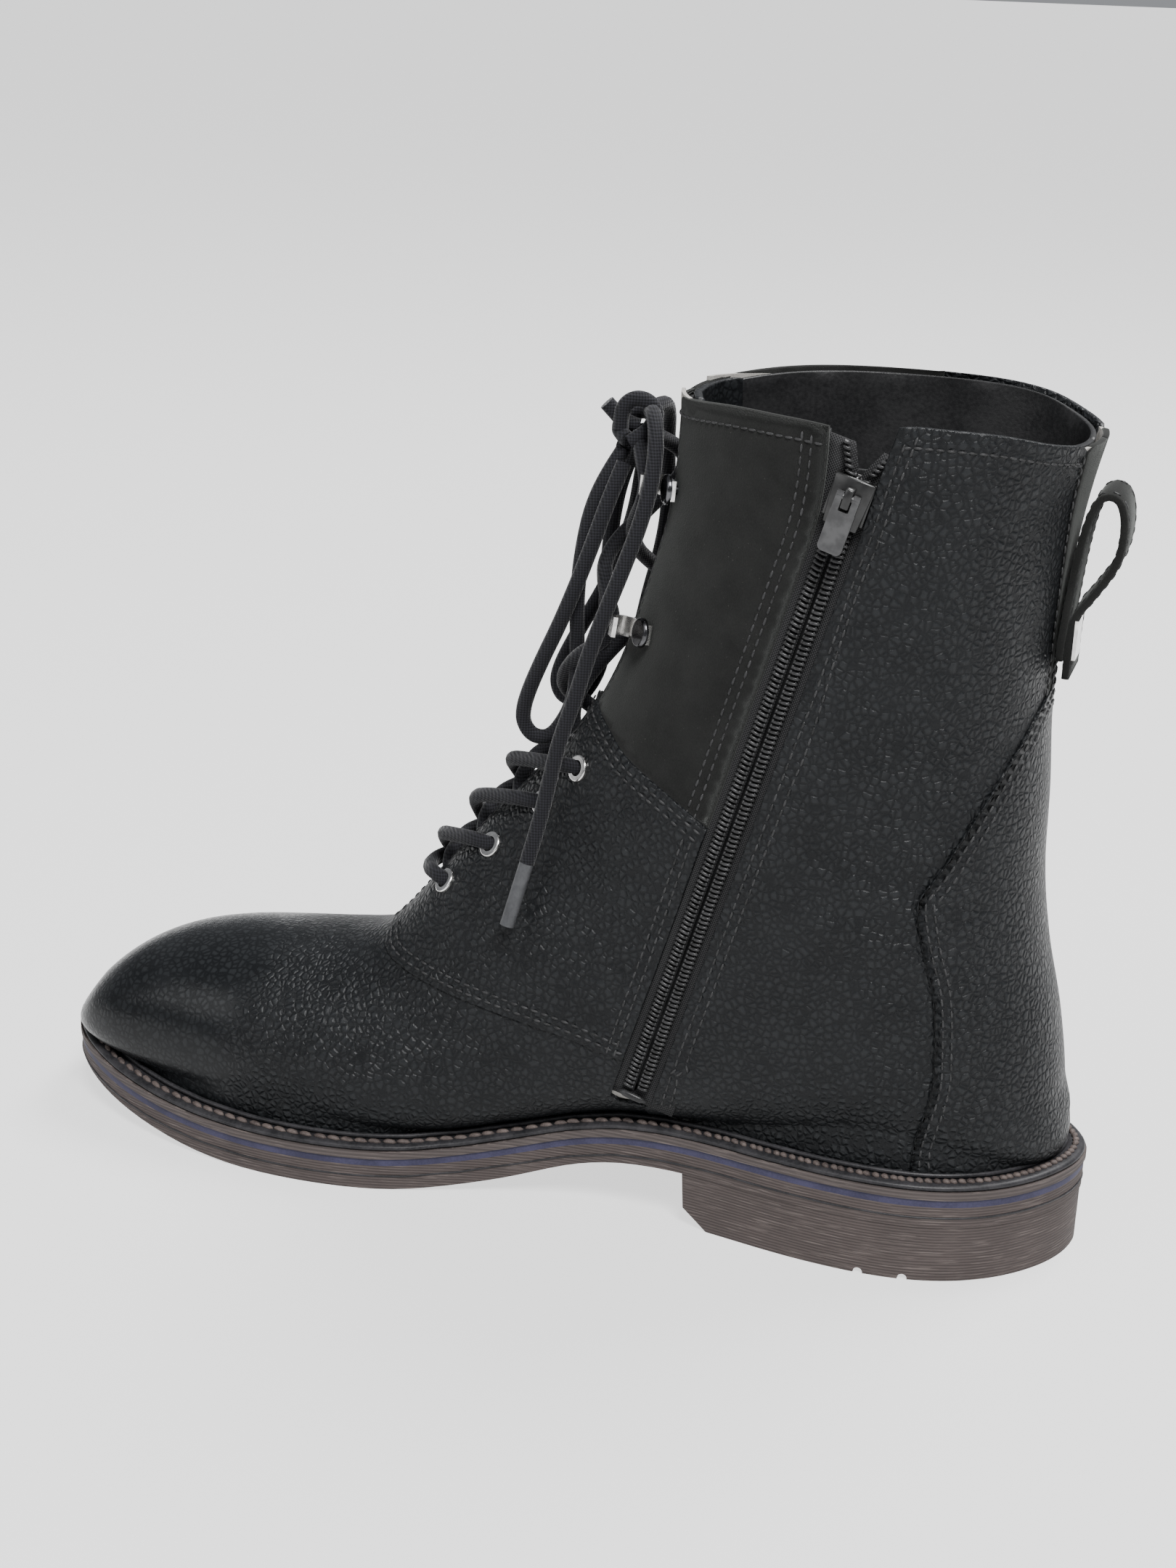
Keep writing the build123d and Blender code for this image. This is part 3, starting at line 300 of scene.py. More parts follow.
    def beside(self, halves: np.ndarray, middle: float, place0: float, place1: float, back: bool) -> np.ndarray:
        """A line at a set distance from the ridge or from the back line.

        Args:
            halves: Heights and the distances at them.
            middle: The y that the distance is taken from.
            place0: Where the line starts.
            place1: Where it ends.
            back: Whether it is on the back of the boot.

        Returns:
            Places and angles on the inner side.
        """
        scan = np.linspace(math.pi / 2, math.pi, 240) if back else np.linspace(math.pi / 2, 0, 240)
        found = []
        for place in np.linspace(place0, place1, max(int(abs(place1 - place0) * 8), 3)):
            points = self.point(np.full(len(scan), place), scan)
            wanted = np.interp(points[:, 2], halves[:, 0], halves[:, 1])
            k = int(np.argmin(np.abs(middle - points[:, 1] - wanted)))
            found.append((place, scan[k]))
        return np.array(found)

    def shifted(self, line: np.ndarray, distance: float) -> np.ndarray:
        """A line on the face moved sideways, to the left of its run as seen from outside when positive."""
        p = self.point(line[:, 0], line[:, 1])
        run = np.gradient(p, axis=0)
        run /= np.maximum(np.linalg.norm(run, axis=1, keepdims=True), 1e-9)
        across = np.cross(self.normal(line[:, 0], line[:, 1]), run) * distance
        along, turn = self.slopes(line[:, 0], line[:, 1])
        aa, bb, ab = (along * along).sum(1), (turn * turn).sum(1), (along * turn).sum(1)
        va, vb = (across * along).sum(1), (across * turn).sum(1)
        det = aa * bb - ab * ab
        moved = line + np.column_stack([(va * bb - vb * ab) / det, (vb * aa - va * ab) / det])
        moved[:, 0] = np.clip(moved[:, 0], 0, TIP)
        return moved


FACE = UpperFace()


# ------------------------------------------------------------------ meshes
def mesh_object(name: str, points: np.ndarray, faces: list[tuple[int, ...]], flat: bool = False) -> bpy.types.Object:
    """A mesh piece of the boot.

    Args:
        name: The piece's name.
        points: Its points in the drawing's millimetres.
        faces: Its faces.
        flat: Whether the faces are left faceted.

    Returns:
        The new object, linked to the scene.
    """
    name = name.replace(" ", "_")
    mesh = bpy.data.meshes.new(name)
    mesh.from_pydata([tuple(p) for p in (points - ORIGIN) * MM], [], faces)
    mesh.validate()
    if not flat:
        mesh.polygons.foreach_set("use_smooth", [True] * len(mesh.polygons))
    obj = bpy.data.objects.new(name, mesh)
    bpy.context.scene.collection.objects.link(obj)
    return obj


def outward(obj: bpy.types.Object) -> bpy.types.Object:
    """Turns the faces of a closed piece to look outwards."""
    bpy.context.view_layer.objects.active = obj
    obj.select_set(True)
    bpy.ops.object.mode_set(mode="EDIT")
    bpy.ops.mesh.select_all(action="SELECT")
    bpy.ops.mesh.normals_make_consistent(inside=False)
    bpy.ops.object.mode_set(mode="OBJECT")
    obj.select_set(False)
    return obj


class Batch:
    """Gathers many small copies of a shape into one mesh."""

    def __init__(self) -> None:
        """Starts with nothing."""
        self.points: list[np.ndarray] = []
        self.faces: list[tuple[int, ...]] = []
        self.count = 0

    def add(self, points: np.ndarray, faces: list[tuple[int, ...]]) -> None:
        """Adds one shape."""
        self.faces += [tuple(i + self.count for i in f) for f in faces]
        self.points.append(points)
        self.count += len(points)

    def bead(self, centre: np.ndarray, run: np.ndarray, up: np.ndarray, length: float, radius: float,
             squash: float = 1.0, bend: float = 0.0) -> None:
        """Adds a rounded bead, such as a stitch or a zip tooth.

        Args:
            centre: Its middle.
            run: Its direction.
            up: The direction that it stands up in.
            length: Its length from end to end.
            radius: Its half thickness.
            squash: Its height as a share of its width.
            bend: How far its ends dip below its middle.
        """
        run = run / np.linalg.norm(run)
        side = np.cross(up, run)
        side /= np.linalg.norm(side)
        up = np.cross(run, side)
        rings, round_ = 6, 6
        spread = np.linspace(-1, 1, rings)
        width = radius * np.sqrt(np.maximum(1 - np.abs(spread) ** 3.2, 0.03))
        angle = np.arange(round_) * 2 * np.pi / round_
        ring = np.cos(angle)[:, None] * side + np.sin(angle)[:, None] * up * squash
        points = np.vstack([centre + run * (s * length / 2) - up * bend * s * s + ring * w for s, w in zip(spread, width)])
        faces = [(i * round_ + j, i * round_ + (j + 1) % round_, (i + 1) * round_ + (j + 1) % round_, (i + 1) * round_ + j)
                 for i in range(rings - 1) for j in range(round_)]
        faces += [tuple(range(round_))[::-1], tuple(range((rings - 1) * round_, rings * round_))]
        self.add(points, faces)

    def make(self, name: str) -> bpy.types.Object:
        """One object from everything added."""
        return mesh_object(name, np.vstack(self.points), self.faces)


@dataclass
class Edge:
    """How a panel's cut edge is shaped, in millimetres."""

    proud: float = 0.28     # how far the edge rounds out past its outline
    drop: float = 0.24      # how far the round sits below the face


class Panel:
    """One cut piece of leather or cloth that lies on the upper's face."""

    SPACING = 2.3           # distance between the points of a panel
    STRETCH = (12.0, 42.0)  # millimetres for a unit of place and of angle, which keeps the triangles even

    def __init__(self, name: str, outline: list[np.ndarray], lift: float, thick: float, edge: Edge | None = None) -> None:
        """Sets the panel out.

        Args:
            name: The piece's name.
            outline: Lines of places and angles that follow each other round the panel.
            lift: The height of its outer face above the upper's face.
            thick: Its thickness.
            edge: The shape of its cut edge.
        """
        self.name, self.lift, self.thick = name, lift, thick
        self.edge = edge or Edge()
        line = np.vstack(outline)
        keep = np.ones(len(line), bool)
        for k in range(1, len(line)):
            keep[k] = np.abs(line[k] - line[k - 1]).max() > 1e-4
        line = line[keep]
        if np.abs(line[0] - line[-1]).max() < 1e-4:
            line = line[:-1]
        line = np.vstack([self.divided(a, b) for a, b in zip(line, np.roll(line, -1, axis=0))])
        area = (line[:, 0] * np.roll(line[:, 1], -1) - np.roll(line[:, 0], -1) * line[:, 1]).sum()
        self.outline = line if area > 0 else line[::-1]

    def divided(self, start: np.ndarray, end: np.ndarray) -> np.ndarray:
        """Points from one corner of the outline up to the next, close enough to follow the face."""
        closed_toe = min(start[0], end[0]) >= TIP - 1e-6
        count = 1 if closed_toe else max(int(np.abs((end - start) * self.STRETCH).max() / self.SPACING), 1)
        return start + (end - start) * np.arange(count)[:, None] / count

    def inside(self, points: np.ndarray) -> np.ndarray:
        """Which places and angles are within the outline."""
        a, b = self.outline, np.roll(self.outline, -1, axis=0)
        odd = np.zeros(len(points), bool)
        for (ax, ay), (bx, by) in zip(a, b):
            if ay != by:
                cross = (ay > points[:, 1]) != (by > points[:, 1])
                odd ^= cross & (points[:, 0] < (bx - ax) * (points[:, 1] - ay) / (by - ay) + ax)
        return odd

    def fill(self) -> np.ndarray:
        """Points inside the outline, an even distance apart on the face."""
        low, high = self.outline.min(0), self.outline.max(0)
        rows, place = [], low[0] + 0.05
        while place < high[0]:
            phi = np.linspace(low[1], high[1], 500)
            line = FACE.point(np.full(len(phi), place), phi)
            gone = np.concatenate([[0.0], np.cumsum(np.linalg.norm(np.diff(line, axis=0), axis=1))])
            marks = np.arange(self.SPACING * (0.5 + 0.5 * (len(rows) % 2)), gone[-1], self.SPACING)
            rows.append(np.column_stack([np.full(len(marks), place), np.interp(marks, gone, phi)]))
            ahead = FACE.point(np.full(24, min(place + 0.1, high[0])), np.linspace(low[1], high[1], 24))
            here = FACE.point(np.full(24, place), np.linspace(low[1], high[1], 24))
            speed = np.percentile(np.linalg.norm(ahead - here, axis=1), 75) * 10
            place += np.clip(self.SPACING * 0.87 / max(speed, 1e-3), 0.04, 0.5)
        points = np.vstack(rows)
        points = points[self.inside(points)]
        scale = np.array(self.STRETCH)
        rim = self.outline * scale
        near = np.array([np.min(np.abs(rim - p * scale).max(1)) for p in points])
        return points[near > 1.0]

    def build(self, relief=None) -> bpy.types.Object:
        """Makes the panel as a closed solid.

        Args:
            relief: A function of points and normals that gives a height to add at each point, in millimetres.

        Returns:
            The object. Its second material slot, if it is given one, is the cut edge.
        """
        rim_count = len(self.outline)
        flat = np.vstack([self.outline, self.fill()])
        scale = np.array(self.STRETCH)
        ring = list(range(rim_count))
        verts, _, faces, sources, _, _ = delaunay_2d_cdt([Vector(p) for p in flat * scale], [], [ring], 1, 1e-7)
        flat = np.array([tuple(v) for v in verts]) / scale
        index = {}
        for new, old in enumerate(sources):
            for k in old:
                index[k] = new
        rim = [index[k] for k in ring]
        rim = [k for i, k in enumerate(rim) if k != rim[i - 1]]
        points, normals = FACE.point(*flat.T), FACE.normal(*flat.T)
        height = np.full(len(points), self.lift)
        if relief is not None:
            height = height + relief(points, normals)
        outer = points + normals * height[:, None]
        inner = points + normals * (self.lift - self.thick)
        run = np.roll(outer[rim], -1, axis=0) - np.roll(outer[rim], 1, axis=0)
        run /= np.maximum(np.linalg.norm(run, axis=1, keepdims=True), 1e-9)
        out = np.cross(run, normals[rim])
        n = normals[rim]
        proud, drop = self.edge.proud, self.edge.drop
        bands = [outer[rim] + out * proud * 0.75 - n * drop * 0.35,
                 outer[rim] + out * proud - n * drop * 1.2,
                 outer[rim] + out * proud - n * (self.thick - 0.2)]
        count = len(outer)
        every = [outer, inner] + bands
        tris = [tuple(f) for f in faces]
        one = tris[len(tris) // 2]
        a, b, c = (outer[i] for i in one)
        if np.dot(np.cross(b - a, c - a), normals[one[0]]) < 0:
            tris = [f[::-1] for f in tris]
        shell = list(tris) + [tuple(i + count for i in f[::-1]) for f in tris]
        wall = []
        lines = [rim] + [[2 * count + k * len(rim) + i for i in range(len(rim))] for k in range(3)] + [[i + count for i in rim]]
        for above, below in zip(lines, lines[1:]):
            for i in range(len(rim)):
                j = (i + 1) % len(rim)
                wall.append((above[i], above[j], below[j], below[i]))
        a, b, c = (np.vstack(every)[i] for i in wall[0][:3])
        if np.dot(np.cross(b - a, c - a), out[0]) < 0:
            wall = [f[::-1] for f in wall]
        obj = mesh_object(self.name, np.vstack(every), shell + wall)
        for k, polygon in enumerate(obj.data.polygons):
            polygon.material_index = 1 if k >= len(shell) + len(rim) else 0
        return obj


# ------------------------------------------------------------------ finishes
class Value:
    """A shader number, so that sums of numbers are written as Python expressions."""

    def __init__(self, shader: "Shader", socket: bpy.types.NodeSocket) -> None:
        """Wraps an output socket."""
        self.shader, self.socket = shader, socket

    def _sum(self, operation: str, *values: "Value | float") -> "Value":
        """Adds one Math node."""
        return self.shader.node("ShaderNodeMath", {"operation": operation}, dict(enumerate(values)))

    def __add__(self, other: "Value | float") -> "Value":
        """self + other."""
        return self._sum("ADD", self, other)

    def __sub__(self, other: "Value | float") -> "Value":
        """self - other."""
        return self._sum("SUBTRACT", self, other)

    def __rsub__(self, other: float) -> "Value":
        """other - self."""
        return self._sum("SUBTRACT", other, self)

    def __mul__(self, other: "Value | float") -> "Value":
        """self * other."""
        return self._sum("MULTIPLY", self, other)

    def __truediv__(self, other: "Value | float") -> "Value":
        """self / other."""
        return self._sum("DIVIDE", self, other)

    __radd__ = __add__
    __rmul__ = __mul__

    def above(self, low: float, high: float) -> "Value":
        """0 below low, 1 above high, and smooth between."""
        return self.shader.node("ShaderNodeMapRange", {"interpolation_type": "SMOOTHSTEP"}, {0: self, 1: low, 2: high})

    def wave(self) -> "Value":
        """The sine of the value."""
        return self._sum("SINE", self)


class Shader:
    """A material under construction."""

    def __init__(self, name: str) -> None:
        """Starts a material with one Principled shader."""
        self.material = bpy.data.materials.new(name)
        self.material.use_nodes = True
        self.tree = self.material.node_tree
        self.tree.nodes.clear()
        self.output = self.tree.nodes.new("ShaderNodeOutputMaterial")
        self.principled = self.tree.nodes.new("ShaderNodeBsdfPrincipled")
        self.tree.links.new(self.principled.outputs[0], self.output.inputs[0])

    def _put(self, socket: bpy.types.NodeSocket, value: object) -> None:
        """Sets or links one input."""
        if isinstance(value, Value):
            self.tree.links.new(value.socket, socket)
        else:
            socket.default_value = value

    def node(self, kind: str, settings: dict | None = None, inputs: dict | None = None, out: int | str = 0) -> Value:
        """Adds a node.

        Args:
            kind: The node's type.
            settings: Its settings; "stops" holds a ramp's places and colours.
            inputs: Values or links of its sockets, by name or number.
            out: The output that is used.

        Returns:
            The output as a Value.
        """
        node = self.tree.nodes.new(kind)
        for key, value in (settings or {}).items():
            if key == "stops":
                ramp = node.color_ramp
                for place, colour in value[2:]:
                    ramp.elements.new(place)
                for element, (place, colour) in zip(ramp.elements, sorted(value)):
                    element.position, element.color = place, colour
            else:
                setattr(node, key, value)
        for key, value in (inputs or {}).items():
            self._put(node.inputs[key], value)
        return Value(self, node.outputs[out])

    def place(self, scale: tuple[float, float, float] = (1, 1, 1)) -> Value:
        """The row frame's coordinates in millimetres, stretched by scale."""
        at = self.node("ShaderNodeTexCoord", out="Object")
        factor = tuple(1000 * s for s in scale)
        return self.node("ShaderNodeVectorMath", {"operation": "MULTIPLY"}, {0: at, 1: factor})

    def part(self, at: Value, axis: int) -> Value:
        """One coordinate of a place."""
        return self.node("ShaderNodeSeparateXYZ", None, {0: at}, axis)

    def noise(self, at: Value, size: float, detail: float = 3.0) -> Value:
        """Soft noise with patches about size millimetres across."""
        return self.node("ShaderNodeTexNoise", None, {"Vector": at, "Scale": 1 / size, "Detail": detail}, "Fac")

    def cells(self, at: Value, size: float, feature: str = "SMOOTH_F1") -> Value:
        """Distance from the middle of cells about size millimetres across."""
        return self.node("ShaderNodeTexVoronoi", {"feature": feature}, {"Vector": at, "Scale": 1 / size}, "Distance")

    def mix(self, amount: Value, a: tuple[float, float, float], b: "tuple[float, float, float] | Value") -> Value:
        """Two colours mixed by an amount."""
        colours = {6: (*a, 1) if isinstance(a, tuple) else a, 7: (*b, 1) if isinstance(b, tuple) else b}
        return self.node("ShaderNodeMix", {"data_type": "RGBA"}, {0: amount, **colours}, 2)

    def bump(self, height: Value, depth: float) -> Value:
        """A normal from a height, depth millimetres for a height of 1."""
        return self.node("ShaderNodeBump", None, {"Height": height, "Strength": 1.0, "Distance": depth * MM}, "Normal")

    def finish(self, **inputs: object) -> bpy.types.Material:
        """Sets the Principled shader's inputs and returns the material."""
        for key, value in inputs.items():
            self._put(self.principled.inputs[key.replace("_", " ")], value)
        return self.material


Colour = tuple[float, float, float]


@dataclass(frozen=True)
class GrainLeather:
    """Pebbled full-grain leather, smooth and polished over the toe, with painted shade in the crevices between pebbles.
    """

    name: str = "grain leather"
    dark: Colour = (0.0028, 0.0031, 0.0036)
    light: Colour = (0.0095, 0.0103, 0.0112)
    pebble: float = 2.0
    depth: float = 0.42
    polished_toe: bool = True

    def make(self) -> bpy.types.Material:
        """Builds the material."""
        s = Shader(self.name)
        at = s.place()
        bend = s.node("ShaderNodeTexNoise", None, {"Vector": at, "Scale": 0.12, "Detail": 2.0}, "Color")
        warped = s.node("ShaderNodeVectorMath", {"operation": "ADD"}, {0: at, 1: bend})
        pebbles = s.cells(warped, self.pebble, "DISTANCE_TO_EDGE").above(0.0, 0.34)
        big = s.noise(at, 14.0)
        fine = s.noise(s.place((1.0, 1.0, 0.35)), 0.45, 4.0)
        folds = s.noise(s.place((0.55, 0.6, 1.9)), 3.4, 4.0)
        toe = s.part(at, 0).above(-74.0, -92.0) if self.polished_toe else None
        rough = 1 - toe * 0.9 if toe else None
        height = pebbles * 0.7 + fine * 0.3 + folds * 0.9
        # Colour: soft random patches from the big and fine noise, and painted shade that darkens the crevices between
        # pebbles.
        tone = (pebbles * 0.55 + big * 0.6 + fine * 0.25).above(0.25, 1.05)
        gloss = 0.40 + big * 0.12 - pebbles * 0.10
        if toe:
            height = height * rough + fine * 0.06
            gloss = gloss - toe * 0.14
        return s.finish(Base_Color=s.mix(tone, self.dark, self.light), Roughness=gloss,
                        Normal=s.bump(height, self.depth), Specular_IOR_Level=0.14)


@dataclass(frozen=True)
class Nap:
    """Suede or nubuck with a short nap."""

    name: str = "suede"
    dark: Colour = (0.0030, 0.0030, 0.0029)
    light: Colour = (0.0095, 0.0095, 0.0092)
    depth: float = 0.14

    def make(self) -> bpy.types.Material:
        """Builds the material."""
        s = Shader(self.name)
        at = s.place()
        hair = s.noise(at, 0.38, 5.0)
        patch = s.noise(at, 9.0, 3.0)
        tone = (hair * 0.7 + patch * 0.7).above(0.35, 1.05)
        fleck = s.noise(at, 0.55, 1.0).above(0.76, 0.80)
        colour = s.mix(fleck * 0.35, s.mix(tone, self.dark, self.light), (0.09, 0.085, 0.08))
        return s.finish(Base_Color=colour, Roughness=0.92, Normal=s.bump(hair, self.depth), Specular_IOR_Level=0.08,
                        Sheen_Weight=0.12, Sheen_Roughness=0.55, Sheen_Tint=(0.5, 0.52, 0.5, 1))


@dataclass(frozen=True)
class CutEdge:
    """The raw edge of dyed leather, with a green-grey cast."""

    name: str = "cut edge"
    dark: Colour = (0.012, 0.016, 0.015)
    light: Colour = (0.040, 0.052, 0.048)

    def make(self) -> bpy.types.Material:
        """Builds the material."""
        s = Shader(self.name)
        at = s.place()
        fibre = s.noise(at, 0.5, 4.0)
        return s.finish(Base_Color=s.mix(fibre, self.dark, self.light), Roughness=0.85, Normal=s.bump(fibre, 0.08), Specular_IOR_Level=0.12)


@dataclass(frozen=True)
class Plain:
    """An even material with soft patches and a fine surface, such as rubber, lining, board or plastic."""

    name: str
    dark: Colour
    light: Colour
    roughness: float = 0.6
    patch: float = 8.0
    fine: float = 0.6
    depth: float = 0.04
    stretch: Colour = (1.0, 1.0, 1.0)
    metallic: float = 0.0

    def make(self) -> bpy.types.Material:
        """Builds the material."""
        s = Shader(self.name)
        at = s.place(self.stretch)
        patches, grains = s.noise(at, self.patch), s.noise(at, self.fine, 4.0)
        tone = patches * 0.6 + grains * 0.4
        return s.finish(Base_Color=s.mix(tone.above(0.3, 0.7), self.dark, self.light), Metallic=self.metallic,
                        Roughness=self.roughness - 0.06 + grains * 0.12, Normal=s.bump(grains, self.depth), Specular_IOR_Level=0.18)


@dataclass(frozen=True)
class SoleRubber:
    """Rubber of the sole's edge: fine lines along it with light broken scratches."""

    name: str = "sole rubber"
    dark: Colour = (0.024, 0.019, 0.018)
    light: Colour = (0.066, 0.053, 0.050)
    pitch: float = 0.85

    def make(self) -> bpy.types.Material:
        """Builds the material."""
        s = Shader(self.name)
        at = s.place()
        wander = s.noise(s.place((0.1, 0.1, 0.3)), 2.0)
        lines = ((s.part(at, 2) + wander * 0.6) * (2 * math.pi / self.pitch)).wave() * 0.5 + 0.5
        scratch = s.noise(s.place((0.10, 0.10, 2.4)), 0.9, 3.0).above(0.56, 0.66)
        patches = s.noise(at, 12.0)
        colour = s.mix(scratch * 0.40, s.mix(lines * 0.45 + patches * 0.5, self.dark, self.light), (0.13, 0.108, 0.10))
        return s.finish(Base_Color=colour, Roughness=0.66 + patches * 0.1, Normal=s.bump(lines + scratch * 0.4, 0.10),
                        Specular_IOR_Level=0.18)


@dataclass(frozen=True)
class Metal:
    """Polished or enamelled metal with faint wear."""

    name: str
    dark: Colour
    light: Colour
    roughness: float
    metallic: float = 1.0

    def make(self) -> bpy.types.Material:
        """Builds the material."""
        s = Shader(self.name)
        at = s.place()
        wear, haze = s.noise(at, 0.7, 4.0), s.noise(at, 3.0)
        return s.finish(Base_Color=s.mix(haze.above(0.35, 0.65), self.dark, self.light), Metallic=self.metallic,
                        Roughness=self.roughness + wear * 0.12, Normal=s.bump(wear, 0.012))


@dataclass(frozen=True)
class Braid:
    """A round braided lace."""

    name: str = "lace braid"
    dark: Colour = (0.0018, 0.0018, 0.0022)
    light: Colour = (0.013, 0.013, 0.016)
    pitch: float = 1.5

    def make(self) -> bpy.types.Material:
        """Builds the material from a crossed weave of plaits."""
        s = Shader(self.name)
        at = s.place()
        x, y, z = (s.part(at, k) for k in range(3))
        turn = 2 * math.pi / self.pitch
        one = ((z + x * 0.9 + y * 0.5) * turn).wave()
        two = ((z - x * 0.9 - y * 0.5) * turn).wave()
        plaits = one * two * 0.5 + 0.5
        fibre = s.noise(at, 0.3, 3.0)
        return s.finish(Base_Color=s.mix((plaits * 0.7 + fibre * 0.4).above(0.1, 1.0), self.dark, self.light),
                        Roughness=0.82, Normal=s.bump(plaits + fibre * 0.4, 0.16), Specular_IOR_Level=0.12,
                         Sheen_Weight=0.12, Sheen_Roughness=0.4)


@dataclass(frozen=True)
class Weave:
    """The woven tape of the zip."""

    name: str = "zip tape"
    dark: Colour = (0.0030, 0.0030, 0.0033)
    light: Colour = (0.030, 0.030, 0.031)
    pitch: float = 0.8

    def make(self) -> bpy.types.Material:
        """Builds the material."""
        s = Shader(self.name)
        at = s.place()
        turn = 2 * math.pi / self.pitch
        ribs = ((s.part(at, 2) + s.part(at, 0) * 0.29) * turn).wave()
        columns = ((s.part(at, 0) - s.part(at, 2) * 0.29) * turn).wave()
        cloth = ribs * columns * 0.5 + 0.5
        return s.finish(Base_Color=s.mix(cloth, self.dark, self.light), Roughness=0.78, Normal=s.bump(cloth, 0.14), Specular_IOR_Level=0.12)


class Finishes:
    """Every material, by the record's slot name."""

    def __init__(self) -> None:
        """Builds them all."""
        black, black2 = (0.006, 0.006, 0.0065), (0.016, 0.016, 0.0165)
        self.cut = CutEdge().make()
        self.by_slot: dict[str, bpy.types.Material] = {
            "grain_leather": GrainLeather().make(),
            "suede": Nap().make(),
            "sole_rubber": SoleRubber().make(),
            "navy_rubber": Plain("navy rubber", (0.018, 0.017, 0.035), (0.034, 0.032, 0.062), 0.6).make(),
            "band_rubber": SoleRubber("band rubber", (0.028, 0.023, 0.022), (0.070, 0.058, 0.055), 1.1).make(),
            "welt_leather": Plain("welt leather", (0.008, 0.008, 0.009), (0.024, 0.023, 0.025), 0.42, 6.0, 0.8, 0.05).make(),
            "thread": Plain("waxed thread", (0.026, 0.020, 0.019), (0.085, 0.068, 0.062), 0.62, 3.0, 0.35, 0.08).make(),
            "black_thread": Plain("black thread", (0.006, 0.006, 0.006), (0.030, 0.030, 0.031), 0.45, 3.0, 0.3, 0.05).make(),
            "nail_steel": Metal("nail steel", (0.35, 0.34, 0.33), (0.55, 0.54, 0.53), 0.35).make(),
            "board": Plain("fibre board", (0.20, 0.14, 0.09), (0.32, 0.24, 0.16), 0.85, 5.0, 0.5).make(),
            "cork": Plain("cork", (0.16, 0.10, 0.05), (0.36, 0.24, 0.14), 0.9, 2.0, 0.9, 0.2).make(),
            "footbed_leather": Plain("footbed leather", black, black2, 0.6, 9.0, 0.7, 0.05).make(),
            "nickel": Metal("nickel", (0.52, 0.51, 0.50), (0.74, 0.73, 0.71), 0.16).make(),
            "gunmetal": Metal("gunmetal", (0.050, 0.050, 0.052), (0.10, 0.10, 0.105), 0.16).make(),
            "stiffener": Plain("stiffener", (0.42, 0.40, 0.35), (0.55, 0.53, 0.47), 0.7).make(),
            "interlining": Plain("interlining", (0.20, 0.19, 0.18), (0.30, 0.29, 0.27), 0.9, 4.0, 0.4, 0.1).make(),
            "lining_leather": Plain("lining leather", black, black2, 0.42, 16.0, 1.0, 0.10).make(),
            "tongue_leather": GrainLeather("tongue leather", polished_toe=False, depth=0.12).make(),
            "gusset_leather": Plain("gusset leather", black, black2, 0.55, 7.0, 0.8, 0.08).make(),
            "zip_tape": Weave().make(),
            "zip_coil": Plain("zip coil", (0.008, 0.008, 0.008), (0.030, 0.030, 0.031), 0.32, 3.0, 0.5, 0.02).make(),
            "slider_metal": Metal("slider enamel", (0.006, 0.006, 0.006), (0.014, 0.014, 0.014), 0.28, 0.3).make(),
            "puller_metal": Metal("puller enamel", (0.030, 0.030, 0.031), (0.055, 0.055, 0.056), 0.30, 0.4).make(),
            "lace_cord": Braid().make(),
            "aglet_plastic": Plain("aglet", (0.032, 0.033, 0.035), (0.052, 0.053, 0.056), 0.38, 3.0, 0.6, 0.01).make(),
        }

    def dress(self, obj: bpy.types.Object, slot: str, edge: bool = False) -> bpy.types.Object:
        """Gives a piece the material of a record's slot.

        Args:
            obj: The piece.
            slot: The finish.
            edge: Whether its second material is the cut edge.

        Returns:
            The piece.
        """
        obj.data.materials.clear()
        obj.data.materials.append(self.by_slot[slot])
        if edge:
            obj.data.materials.append(self.cut)
        return obj


# ------------------------------------------------------------------ the upper
def mirror(line: np.ndarray, whole: bool = False) -> np.ndarray:
    """A line of the inner side, on the outer side.

    Args:
        line: Places and angles.
        whole: Whether angles run from 0 to a full turn, as on panels that cross the back.

    Returns:
        The mirrored line.
    """
    return np.column_stack([line[:, 0], (2 * math.pi if whole else 0.0) - line[:, 1]])


def creases(points: np.ndarray, normals: np.ndarray) -> np.ndarray:
    """Wear folds: fans of fine folds below the ankle on each side and long soft waves over the instep.

    Args:
        points: Points of the face.
        normals: Their outward directions.

    Returns:
        A height for each point, in millimetres.
    """
    x, y, z = points.T
    fan = np.exp(-((x - 26) / 20) ** 2 - ((z - 92) / 17) ** 2) * np.abs(normals[:, 1])
    angle = np.arctan2(z - 118, x + 20)
    folds = np.sin(angle * 46 + 0.9 * np.sin(x * 0.21)) * 0.30 * fan
    ankle = np.exp(-((x - 92) / 26) ** 2 - ((z - 96) / 26) ** 2) * np.abs(normals[:, 1])
    waves = 0.28 * np.sin((z + x * 0.35) * 0.42 + 1.3 * np.sin(x * 0.05)) * ankle
    shaft = 0.45 * np.sin(x * 0.071 + z * 0.043 + y * 0.03) * np.clip((z - 130) / 40, 0, 1)
    return folds + waves + shaft


